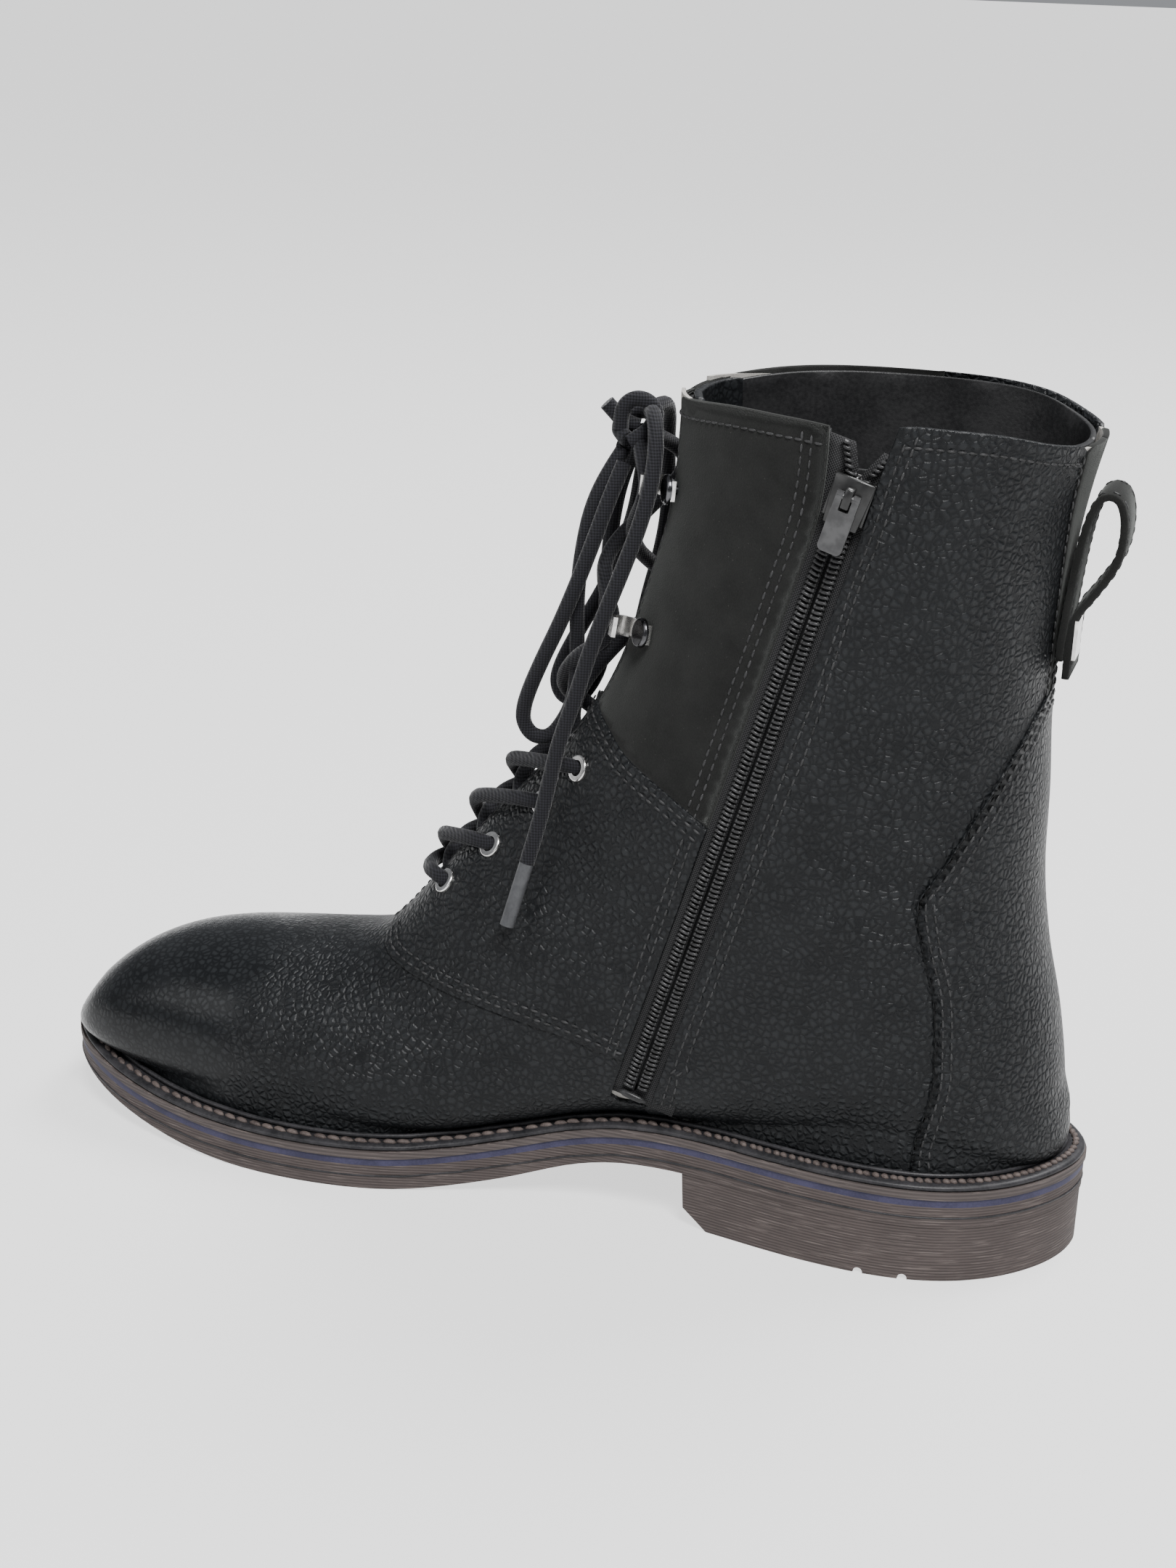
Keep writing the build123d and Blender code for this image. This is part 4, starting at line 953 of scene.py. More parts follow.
@dataclass
class Upper:
    """The leather and suede panels of the outside, with their seams."""

    finishes: Finishes
    thick: float = 1.5
    vamp_lift: float = -0.45
    quarter_lift: float = 0.15
    suede_lift: float = -0.55
    rear_lift: float = 0.10
    counter_lift: float = 0.75
    strip_lift: float = 0.45
    stitch_length: float = 2.3
    stitch_pitch: float = 3.0
    stitches: Batch = field(default_factory=Batch)

    def __post_init__(self) -> None:
        """Draws the lines that the panels share."""
        f = FACE
        zip_z = np.array([36.0, 48.6, 77.0, 116.5, 150.0, 180.0, 200.0])
        front = [(zip_x(z) - SLOT_HALF, z) for z in zip_z] + [(74.9, 210.0), (75.6, 220.0), (75.6, 226.8)]
        rear = [(zip_x(z) + SLOT_HALF, z) for z in zip_z] + [(88.9, 214.0), (93.0, 228.0)]
        self.seam = f.drawn(VAMP_SEAM + [(29.6, 48.9)])
        self.slot_low = f.drawn(front[:2][::-1])
        self.slot_quarter = f.drawn(front[1:4])
        self.slot_front = f.drawn(front[3:])
        self.slot_rear = f.drawn(rear)
        self.slot_foot = f.drawn([(zip_x(36.0) - SLOT_HALF, 36.0), (28.5, 34.0), (35.6, 33.6)])
        self.slot_heel = f.drawn([(35.6, 33.6), (37.4, 34.4), (zip_x(36.0) + SLOT_HALF, 36.0)])
        self.vamp_end = f.drawn([(35.6, 33.6), (35.6, 28.4)], False)
        self.quarter_top = f.drawn(QUARTER_TOP[::-1])
        self.front_top = f.drawn(FRONT_TOP)
        self.rear_top = f.drawn(REAR_TOP)
        self.counter = f.drawn(COUNTER_SEAM)
        self.outer_seam = f.drawn(VAMP_SEAM + [(35.6, 48.6)])
        self.side_low = f.drawn(SIDE_SEAM[:2])
        self.side_high = f.drawn(SIDE_SEAM[1:])
        self.outer_end = f.drawn([(35.6, 48.6), (35.6, 28.4)], False)
        self.toe_feather = f.feather(35.6, -145.4)
        self.rear_feather = f.feather(108.0, 35.6)
        self.heel_feather = f.feather(143.3, 108.0)
        top, low = float(self.front_top[0, 0]), float(self.seam[0, 0])
        corner = float(self.quarter_top[-1, 0])
        self.throat_low = f.beside(THROAT_HALF, 0.5, low, corner, False)
        self.throat_high = f.beside(THROAT_HALF, 0.5, corner + 0.3, top, False)
        self.strip = f.beside(STRIP_HALF, 2.0, float(self.rear_top[-1, 0]), 4.9, True)

    def seam_row(self, line: np.ndarray, distance: float, lift: float, pitch: float | None = None) -> None:
        """Sews a row of stitches.

        Args:
            line: The seam's places and angles.
            distance: How far the row is moved off the seam, to the left as seen from outside.
            lift: Height above the upper's face.
            pitch: Distance between stitches.
        """
        moved = FACE.shifted(line, distance) if distance else line
        points = FACE.point(*moved.T)
        run = np.linalg.norm(np.diff(points, axis=0), axis=1)
        gone = np.concatenate([[0.0], np.cumsum(run)])
        marks = np.arange(1.5, gone[-1] - 1.2, pitch or self.stitch_pitch)
        at = np.column_stack([np.interp(marks, gone, moved[:, k]) for k in range(2)])
        ahead = np.column_stack([np.interp(marks + 0.6, gone, moved[:, k]) for k in range(2)])
        centres, nexts, normals = FACE.point(*at.T), FACE.point(*ahead.T), FACE.normal(*at.T)
        lifts = lift + 0.06 + creases(centres, normals)
        for centre, after, normal, height in zip(centres, nexts, normals, lifts):
            self.stitches.bead(centre + normal * height, after - centre, normal, self.stitch_length, 0.36, 0.8, 0.12)

    def panel(self, name: str, slot: str, outline: list[np.ndarray], lift: float, *nodes: str) -> None:
        """Cuts one panel and gives it its finish.

        Args:
            name: The piece's name.
            slot: Its finish.
            outline: The lines round it.
            lift: Its height.
            nodes: The CAD nodes that it stands for.
        """
        obj = Panel(name, outline, lift, self.thick).build(creases)
        self.finishes.dress(obj, slot, True)
        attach(obj, BOOT)
        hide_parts(*nodes)
        LOG.info("%s: %d points", name, len(obj.data.vertices))

    def build(self) -> None:
        """Cuts and sews every panel."""
        back = slice(None, None, -1)
        ridge = np.column_stack([np.full(9, self.seam[0, 0]), np.linspace(-self.seam[0, 1], self.seam[0, 1], 9)])
        tip = np.array([[TIP, math.pi], [TIP, -math.pi]])
        inner_foot = [self.seam, self.slot_low, self.slot_foot, self.vamp_end, self.toe_feather]
        outer_foot = [mirror(self.toe_feather)[back], mirror(self.outer_end)[back], mirror(self.outer_seam)[back]]
        self.panel("vamp leather", "grain_leather", [ridge] + inner_foot + [tip] + outer_foot, self.vamp_lift, "vamp")
        self.panel("inner quarter", "grain_leather", [self.seam, self.slot_quarter, self.quarter_top, self.throat_low[back]],
                   self.quarter_lift, "quarter_inner")
        top_out = FACE.drawn([SIDE_SEAM[1]] + QUARTER_TOP[::-1])
        self.panel("outer quarter", "grain_leather",
                   [mirror(p) for p in (self.outer_seam, self.side_low, top_out, self.throat_low[back])],
                   self.quarter_lift, "quarter_outer")
        self.panel("inner shaft front", "suede",
                   [self.quarter_top[back], self.slot_front, self.front_top[back], self.throat_high[back]],
                   self.suede_lift, "shaft_front_inner")
        outer_top = FACE.drawn(OUTER_TOP)
        cut = int(np.argmin(np.abs(outer_top[:, 1] - self.side_high[-1, 1])))
        self.panel("outer shaft front", "suede",
                   [mirror(p) for p in (top_out[back], self.side_high, outer_top[:cut][back], self.throat_high[back])],
                   self.suede_lift, "shaft_front_outer")
        strip_top = self.strip[0]
        inner_top = self.rear_top[self.rear_top[:, 1] < strip_top[1]]
        meet = int(np.argmin(np.abs(self.strip - self.counter[0] * [1, 1])[:, 0]))
        strip_edge = self.strip[:meet + 1]
        self.panel("inner rear quarter", "grain_leather",
                   [self.slot_heel, self.slot_rear, inner_top, strip_edge, self.counter, self.rear_feather, self.vamp_end[back]],
                   self.rear_lift, "rear_quarter_inner")
        rear_outer = outer_top[cut:][outer_top[cut:, 1] < strip_top[1]]
        self.panel("outer rear quarter", "grain_leather",
                   [mirror(p) for p in (self.outer_end[back], self.side_low, self.side_high, rear_outer, strip_edge,
                                        self.counter, self.rear_feather)],
                   self.rear_lift, "rear_quarter_outer")
        below = self.counter[self.counter[:, 0] > 3.2]
        apex = np.array([[self.counter[0, 0], math.pi]])
        self.panel("heel counter leather", "grain_leather",
                   [apex, below, self.heel_feather[back], mirror(self.heel_feather, True), mirror(below, True)[back]],
                   self.counter_lift, "heel_counter")
        strip_low = FACE.beside(STRIP_HALF, 2.0, float(strip_top[0]), 4.6, True)
        strip_line = FACE.drawn(REAR_TOP)
        over_top = strip_line[strip_line[:, 1] > strip_top[1]]
        self.panel("back strip suede", "suede",
                   [strip_low, mirror(strip_low, True)[back], mirror(over_top, True), over_top[back]],
                   self.strip_lift, "back_strip")
        self.sew()

    def sew(self) -> None:
        """Sews the seams that show."""
        q, r, c = self.quarter_lift, self.rear_lift, self.counter_lift
        for line, side in ((self.seam, 1), (mirror(self.outer_seam), -1)):
            for distance in (1.9, 4.4):
                self.seam_row(line, side * distance, q)
        for line, side in ((self.throat_low, -1), (mirror(self.throat_low), 1)):
            self.seam_row(line, side * 3.0, q)
        for line, side in ((self.quarter_top, 1), (mirror(self.quarter_top), -1)):
            for distance in (2.2, 4.8):
                self.seam_row(line, side * distance, q)
        for distance in (2.4, 4.8):
            self.seam_row(self.slot_quarter, distance, q)
            self.seam_row(self.slot_rear, -distance, r)
        for distance in (4.0, 6.6):
            self.seam_row(self.slot_front, distance, self.suede_lift)
        for line, side in ((self.counter, 1), (mirror(self.counter), -1)):
            for distance in (2.0, 4.4):
                self.seam_row(line, side * distance, c)
        for line, side in ((self.front_top, -1), (self.rear_top, -1), (mirror(FACE.drawn(OUTER_TOP)), 1)):
            self.seam_row(line, side * 4.2, self.suede_lift if line is self.front_top else r, 2.6)
        for line, side in ((self.throat_high, -1), (mirror(self.throat_high), 1)):
            self.seam_row(line, side * 3.4, self.suede_lift)
        for line, side in ((self.strip[:-3], 1), (mirror(self.strip[:-3]), -1)):
            self.seam_row(line, side * -1.8, self.strip_lift)
        obj = self.stitches.make("seam stitches")
        self.finishes.dress(obj, "black_thread")
        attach(obj, BOOT)
        LOG.info("stitches: %d points", len(obj.data.vertices))


@dataclass
class Inside:
    """Lining, tongue and gusset."""

    finishes: Finishes
    lining_out: float = -2.2
    lining_thick: float = 1.7
    tongue_out: float = -3.9
    tongue_thick: float = 2.2

    def wrinkles(self, points: np.ndarray, normals: np.ndarray) -> np.ndarray:
        """Soft folds of the lining at the ankle and under the top."""
        x, y, z = points.T
        ripple = 0.5 * np.sin(z * 0.38 + 1.6 * np.sin(x * 0.06) + y * 0.05) + 0.3 * np.sin(z * 0.9 + x * 0.22)
        return -np.abs(ripple) * 0.9 * np.exp(-((z - 205) / 24) ** 2)

    def build(self) -> None:
        """Makes the inner pieces."""
        f = FACE
        rim = f.drawn([(x, z - 1.2) for x, z in OUTER_TOP])
        slot_top = [(93.0, 226.8), (88.9, 213.0)] + [(zip_x(z) + 7.0, z) for z in (200.0, 150.0, 100.0, 36.0)]
        slot = f.drawn(slot_top)
        slot_back = f.drawn([(zip_x(z) - 7.0, z) for z in (36.0, 100.0, 150.0, 200.0)] + [(74.6, 212.0), (75.4, 226.0)])
        low = f.drawn([(143.0, 31.0), (105.0, 31.0), (60.0, 31.0), (34.0, 31.0)], False)
        front_low = f.drawn([(34.0, 31.0), (10.0, 26.0), (-20.0, 17.5), (-60.0, 15.5), (-100.0, 17.0), (-130.0, 20.0), (-145.0, 22.5)],
                            False)
        front_top = f.drawn([(x, z - 1.2) for x, z in FRONT_TOP])
        rear_top = f.drawn([(x, z - 1.2) for x, z in REAR_TOP])
        rear_top = np.vstack([rear_top, [[rear_top[-1, 0], math.pi]]])
        low = np.vstack([[[low[0, 0], math.pi]], low])
        tip = np.array([[TIP, math.pi]])
        throat = f.beside(THROAT_HALF, 0.5, 15.0, float(front_top[0, 0]), False)
        inner = [throat[::-1], np.array([[16.2, 0.0], [TIP, 0.0]]), tip, front_low[::-1], low[::-1], rear_top[::-1], slot,
                 f.drawn([(zip_x(36.0) + 7.0, 36.0), (zip_x(36.0) - 7.0, 36.0)], False), slot_back, front_top[::-1]]
        outer_rim = np.vstack([rim, [[rim[-1, 0], math.pi]]])
        outer = [throat[::-1], np.array([[16.2, 0.0], [TIP, 0.0]]), tip, front_low[::-1], low[::-1], outer_rim[::-1]]
        for name, outline in (("inner lining", inner), ("outer lining", [mirror(p) for p in outer])):
            obj = Panel(name, outline, self.lining_out, self.lining_thick).build(self.wrinkles)
            self.finishes.dress(obj, "lining_leather")
            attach(obj, BOOT)
            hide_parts("lining")
        top = 0.42
        edge = f.beside(np.array([(60.0, 15.0), (100.0, 19.0), (150.0, 22.0), (228.0, 23.0)]), 0.5, 15.2, top, False)
        nose = np.column_stack([np.full(7, 15.4), np.linspace(-edge[0, 1], edge[0, 1], 7)])
        head = np.column_stack([np.full(15, top), np.linspace(edge[-1, 1], -edge[-1, 1], 15)])
        tongue = Panel("tongue leather", [nose, edge, head, mirror(edge)[::-1]], self.tongue_out, self.tongue_thick,
                       Edge(0.5, 0.6)).build(lambda p, n: 0.5 * np.sin(p[:, 2] * 0.11) + 0.2 * np.sin(p[:, 1] * 0.5))
        self.finishes.dress(tongue, "tongue_leather")
        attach(tongue, BOOT)
        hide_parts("tongue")
        gusset_edge = [(zip_x(z) - 13.0, z) for z in (36.0, 100.0, 160.0, 216.0)]
        gusset_back = [(zip_x(z) + 13.0, z) for z in (216.0, 160.0, 100.0, 36.0)]
        gusset = Panel("zip gusset leather", [f.drawn(gusset_edge), f.drawn([gusset_edge[-1], gusset_back[0]], False),
                                              f.drawn(gusset_back), f.drawn([gusset_back[-1], gusset_edge[0]], False)],
                       -4.2, 1.0).build(lambda p, n: -0.5 - 0.4 * np.abs(np.sin(p[:, 2] * 0.16 + p[:, 0] * 0.1)))
        self.finishes.dress(gusset, "gusset_leather")
        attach(gusset, BOOT)
        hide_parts("zip_gusset")
        LOG.info("inside pieces made")


# ------------------------------------------------------------------ the sole
@dataclass
class Sole:
    """The welt with its stitching and rand, the footbed, and the finishes of the rubber pieces."""

    finishes: Finishes
    thread_inset: float = 2.7
    thread_radius: float = 0.85
    rand_inset: float = 5.4

    def outline(self, inset: float, step: float) -> tuple[np.ndarray, np.ndarray]:
        """The sole's outline moved inwards.

        Args:
            inset: How far.
            step: The distance between points.

        Returns:
            The points, and the inward direction at each.
        """
        line, inward = sole_line(step)
        return line + inward * inset, inward

    def swept(self, name: str, profile: list[tuple[float, float]], step: float = 2.4) -> bpy.types.Object:
        """A strip that runs round the sole.

        Args:
            name: The piece's name.
            profile: Its section: distances in from the outline, and heights above the outsole.
            step: Distance between sections.

        Returns:
            The object.
        """
        line, inward = self.outline(0.0, step)
        rings = []
        for inset, height in profile:
            xy = line + inward * inset
            rings.append(np.column_stack([xy, sole_top(line[:, 0]) + height]))
        count, turns = len(line), len(profile)
        faces = [(k * count + i, k * count + (i + 1) % count, (k + 1) % turns * count + (i + 1) % count, (k + 1) % turns * count + i)
                 for k in range(turns) for i in range(count)]
        return outward(mesh_object(name, np.vstack(rings), faces))

    def stitching(self) -> bpy.types.Object:
        """The rope of stitches on the welt, long at the forefoot and short at the heel."""
        batch = Batch()
        line, inward = self.outline(self.thread_inset, 0.5)
        run = np.roll(line, -1, axis=0) - line
        step = np.linalg.norm(run, axis=1)
        height = sole_top(line[:, 0]) + WELT_TOP + 0.25
        gone = 0.0
        for k, (x, y) in enumerate(line):
            share = float(np.clip((x - 20) / 50, 0, 1))
            pitch = 4.0 + (2.3 - 4.0) * share
            gone += step[k]
            if gone < pitch:
                continue
            gone -= pitch
            slope = np.array([run[k, 0], run[k, 1], float(sole_top(x + run[k, 0]) - sole_top(x))])
            twist = slope + np.array([*inward[k], 0.0]) * step[k] * (0.18 + 0.35 * share)
            batch.bead(np.array([x, y, height[k]]), twist, np.array([0.0, 0.0, 1.0]), pitch * 1.02, self.thread_radius, 0.85, 0.18)
        return batch.make("welt thread")

    def build(self) -> None:
        """Makes the welt, the rand and the footbed, and dresses the rubber."""
        base = STRIPE + BAND
        top = base + WELT
        welt = self.swept("welt strip", [(13.9, base), (13.9, top), (7.4, top), (6.6, top - 0.15), (4.6, top - 0.35), (4.2, top),
                                         (1.2, top), (0.35, top - 0.25), (0.0, top - 0.7), (0.05, base + 0.4), (0.4, base)])
        self.finishes.dress(welt, "welt_leather")
        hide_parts("welt")
        rand = self.swept("rand bead", [(self.rand_inset + 0.75 * math.cos(a), top + 0.45 + 0.75 * math.sin(a))
                                        for a in np.linspace(0, 2 * math.pi, 8, endpoint=False)])
        self.finishes.dress(rand, "welt_leather")
        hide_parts("rand")
        thread = self.stitching()
        self.finishes.dress(thread, "thread")
        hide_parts("welt_stitching")
        line = self.swept("parting line", [(0.25 * math.cos(a) - 0.02, -3.3 + 0.3 * math.sin(a))
                                           for a in np.linspace(0, 2 * math.pi, 6, endpoint=False)])
        self.finishes.dress(line, "welt_leather")
        footbed = self.footbed()
        for piece in (welt, rand, thread, line, footbed):
            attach(piece, BOOT)
        for node, slot in (("outsole", "sole_rubber"), ("heel_block", "sole_rubber"), ("heel_top_lift", "sole_rubber"),
                           ("sole_stripe", "navy_rubber"), ("midsole", "band_rubber"), ("heel_nails", "nail_steel"),
                           ("shank", "nail_steel"), ("insole_board", "board"), ("cork_filler", "cork")):
            self.finishes.dress(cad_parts[node], slot)
        LOG.info("sole made")

    def footbed(self) -> bpy.types.Object:
        """The footbed: a crowned slab inside the boot."""
        rings = []
        for inset, height in ((16.5, FOOTBED_TOP - 2.6), (16.5, FOOTBED_TOP - 0.8), (17.3, FOOTBED_TOP - 0.1), (20.0, FOOTBED_TOP),
                              (28.0, FOOTBED_TOP - 0.3)):
            line, inward = self.outline(0.0, 4.0)
            middle = np.column_stack([line[:, 0] * 0.94, np.full(len(line), 1.0)])
            reach = np.linalg.norm(middle - line, axis=1, keepdims=True)
            xy = line + (middle - line) * np.minimum(inset / reach, 0.97)
            rings.append(np.column_stack([xy, sole_top(xy[:, 0]) + height]))
        count = len(rings[0])
        faces = [(k * count + i, k * count + (i + 1) % count, (k + 1) * count + (i + 1) % count, (k + 1) * count + i)
                 for k in range(len(rings) - 1) for i in range(count)]
        faces += [tuple(range(count)), tuple(range((len(rings) - 1) * count, len(rings) * count))[::-1]]
        obj = outward(mesh_object("footbed leather", np.vstack(rings), faces))
        self.finishes.dress(obj, "footbed_leather")
        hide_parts("footbed")
        return obj


# ------------------------------------------------------------------ the zip
@dataclass
class Zip:
    """The coil zip on the inner side: tapes, coils, stop, slider and puller."""

    finishes: Finishes
    low: float = 39.0
    high: float = 216.0
    tooth_pitch: float = 1.35
    slider_low: float = 203.2
    slider_high: float = 215.4
    slider_half: float = 5.2

    def __post_init__(self) -> None:
        """Works out the zip's own directions."""
        self.run = ZIP_HIGH - ZIP_LOW
        self.up = self.run / np.linalg.norm(self.run)
        side = np.cross([0.0, -1.0, 0.0], self.up)
        self.side = side / np.linalg.norm(side)
        out = np.cross(self.up, self.side)
        if out[1] > 0:
            self.side, out = -self.side, -out
        self.out = out

    def at(self, height: float, side: float = 0.0, out: float = 0.0) -> np.ndarray:
        """A place by its height, and its distances across and out of the track."""
        share = (height - ZIP_LOW[2]) / (ZIP_HIGH[2] - ZIP_LOW[2])
        return ZIP_LOW + self.run * share + self.side * side + self.out * out

    def strip(self, name: str, heights: np.ndarray, profile) -> bpy.types.Object:
        """A bar along the zip whose section is profile(height), a ring of (side, out) points."""
        rings = [np.array([self.at(h, s, o) for s, o in profile(h)]) for h in heights]
        turns = len(rings[0])
        faces = [(k * turns + i, k * turns + (i + 1) % turns, (k + 1) * turns + (i + 1) % turns, (k + 1) * turns + i)
                 for k in range(len(rings) - 1) for i in range(turns)]
        faces += [tuple(range(turns)), tuple(range((len(rings) - 1) * turns, len(rings) * turns))[::-1]]
        return outward(mesh_object(name, np.vstack(rings), faces))

    def tapes(self) -> None:
        """The two woven tapes, which part above the slider."""
        for name, sign, node in (("front zip tape", -1, "zip_tape_front"), ("rear zip tape", 1, "zip_tape_rear")):
            def section(h: float, sign: int = sign) -> list[tuple[float, float]]:
                """One section of the tape."""
                apart = max(h - 216.0, 0.0) * 0.5
                near = sign * (0.35 + apart)
                return [(near, -0.62), (sign * 12.0, -0.62), (sign * 12.0, -1.2), (near, -1.2)]
            obj = self.strip(name, np.linspace(36.2, 222.5, 80), section)
            self.finishes.dress(obj, "zip_tape")
            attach(obj, BOOT)
            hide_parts(node)

    def coils(self) -> None:
        """The teeth of the two coils, each a small bar with a rounded head, and the cord sewn through them."""
        for name, sign, node in (("front zip coil", -1, "zip_coil_front"), ("rear zip coil", 1, "zip_coil_rear")):
            batch = Batch()
            count = int((self.high - self.low) / self.tooth_pitch)
            for k in range(count):
                h = self.low + 0.8 + (k + (0.25 if sign > 0 else 0.75)) * self.tooth_pitch
                if h > self.high - 0.3:
                    continue
                tilt = self.side * sign + self.up * 0.16
                batch.bead(self.at(h, sign * 2.15, 0.25), tilt, self.out, 3.1, 0.47, 1.35, 0.10)
                batch.bead(self.at(h, sign * 0.85, 0.20), self.up, self.out, 1.10, 0.42, 1.3)
                batch.bead(self.at(h + 0.3, sign * 3.1, 0.45), self.up - self.side * sign * 0.5, self.out, 1.15, 0.26, 0.8)
            obj = batch.make(name)
            self.finishes.dress(obj, "zip_coil")
            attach(obj, BOOT)
            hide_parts(node)

    def ends(self) -> None:
        """The stop at the foot and the parted coil ends above the slider."""
        stop = Batch()
        stop.bead(self.at(37.6, 0.0, 0.5), self.side, self.out, 8.6, 1.15, 0.8)
        obj = stop.make("zip foot stop")
        self.finishes.dress(obj, "zip_coil")
        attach(obj, BOOT)
        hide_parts("zip_bottom_stop")
        parted = Batch()
        for sign in (-1, 1):
            for k in range(5):
                h = 217.1 + k * 1.25
                apart = 2.6 + (h - 216.4) * 0.52
                parted.bead(self.at(h, sign * apart, 0.25), self.side * sign + self.up * 0.1, self.out, 2.5, 0.5, 1.3)
        obj = parted.make("parted coil ends")
        self.finishes.dress(obj, "zip_coil")
        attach(obj, BOOT)
        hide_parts("zip_coil_ends")

    def rounded(self, batch: Batch, heights: tuple[float, float], sides: tuple[float, float], outs: tuple[float, float],
                ease: float, nose: float = 0.0) -> None:
        """Adds a bar with eased edges.

        Args:
            batch: Where it goes.
            heights: Its lower and upper ends.
            sides: Its limits across the zip.
            outs: Its limits out of the zip.
            ease: How far its edges are rounded.
            nose: How much narrower its lower end is on each side.
        """
        (z0, z1), (s0, s1), (o0, o1) = heights, sides, outs
        rings = []
        for h, pull in ((z0, ease), (z0 + ease, 0.0), (z1 - ease, 0.0), (z1, ease)):
            narrow = nose * (z1 - h) / (z1 - z0) + pull
            a, b, c, d = s0 + narrow, s1 - narrow, o0 + pull * 0.5, o1 - pull * 0.5
            e = ease * 0.7
            rings.append([self.at(h, s, o) for s, o in ((a + e, c), (b - e, c), (b, c + e), (b, d - e), (b - e, d), (a + e, d),
                                                        (a, d - e), (a, c + e))])
        faces = [(k * 8 + i, k * 8 + (i + 1) % 8, (k + 1) * 8 + (i + 1) % 8, (k + 1) * 8 + i) for k in range(3) for i in range(8)]
        faces += [tuple(range(8)), tuple(range(24, 32))[::-1]]
        batch.add(np.array([p for ring in rings for p in ring]), faces)

    def slider(self) -> None:
        """The slider: two plates joined by a post, side walls, and the bail that holds the puller."""
        batch, z0, z1, half = Batch(), self.slider_low, self.slider_high, self.slider_half
        self.rounded(batch, (z0, z1), (-half, half), (1.45, 2.6), 0.35, 0.9)
        for sign in (-1, 1):
            sides = sorted((sign * (half - 0.95), sign * half))
            self.rounded(batch, (z0 + 1.6, z1), (sides[0], sides[1]), (-0.2, 1.8), 0.15)
        self.rounded(batch, (z0, z1), (-half + 0.2, half - 0.2), (-2.5, -1.6), 0.2, 0.9)
        self.rounded(batch, (z1 - 3.5, z1), (-0.3, 0.3), (-1.7, 1.5), 0.05)
        for h0, h1 in ((208.6, 209.7), (212.3, 213.4)):
            self.rounded(batch, (h0, h1), (-1.0, 1.0), (2.5, 5.0), 0.15)
        self.rounded(batch, (208.6, 213.4), (-1.0, 1.0), (4.95, 5.7), 0.2)
        obj = outward(batch.make("zip slider"))
        self.finishes.dress(obj, "slider_metal")
        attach(obj, SLIDER)
        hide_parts("slider")
        self.finishes.dress(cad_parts["puller"], "puller_metal")

    def build(self) -> None:
        """Makes the zip."""
        self.tapes()
        self.coils()
        self.ends()
        self.slider()
        LOG.info("zip made")


# ------------------------------------------------------------------ laces and fittings
class FarEnd(Enum):
    """What a lace runs into at its far end."""

    KNOT = "object"
    SLEEVE = "fitting"


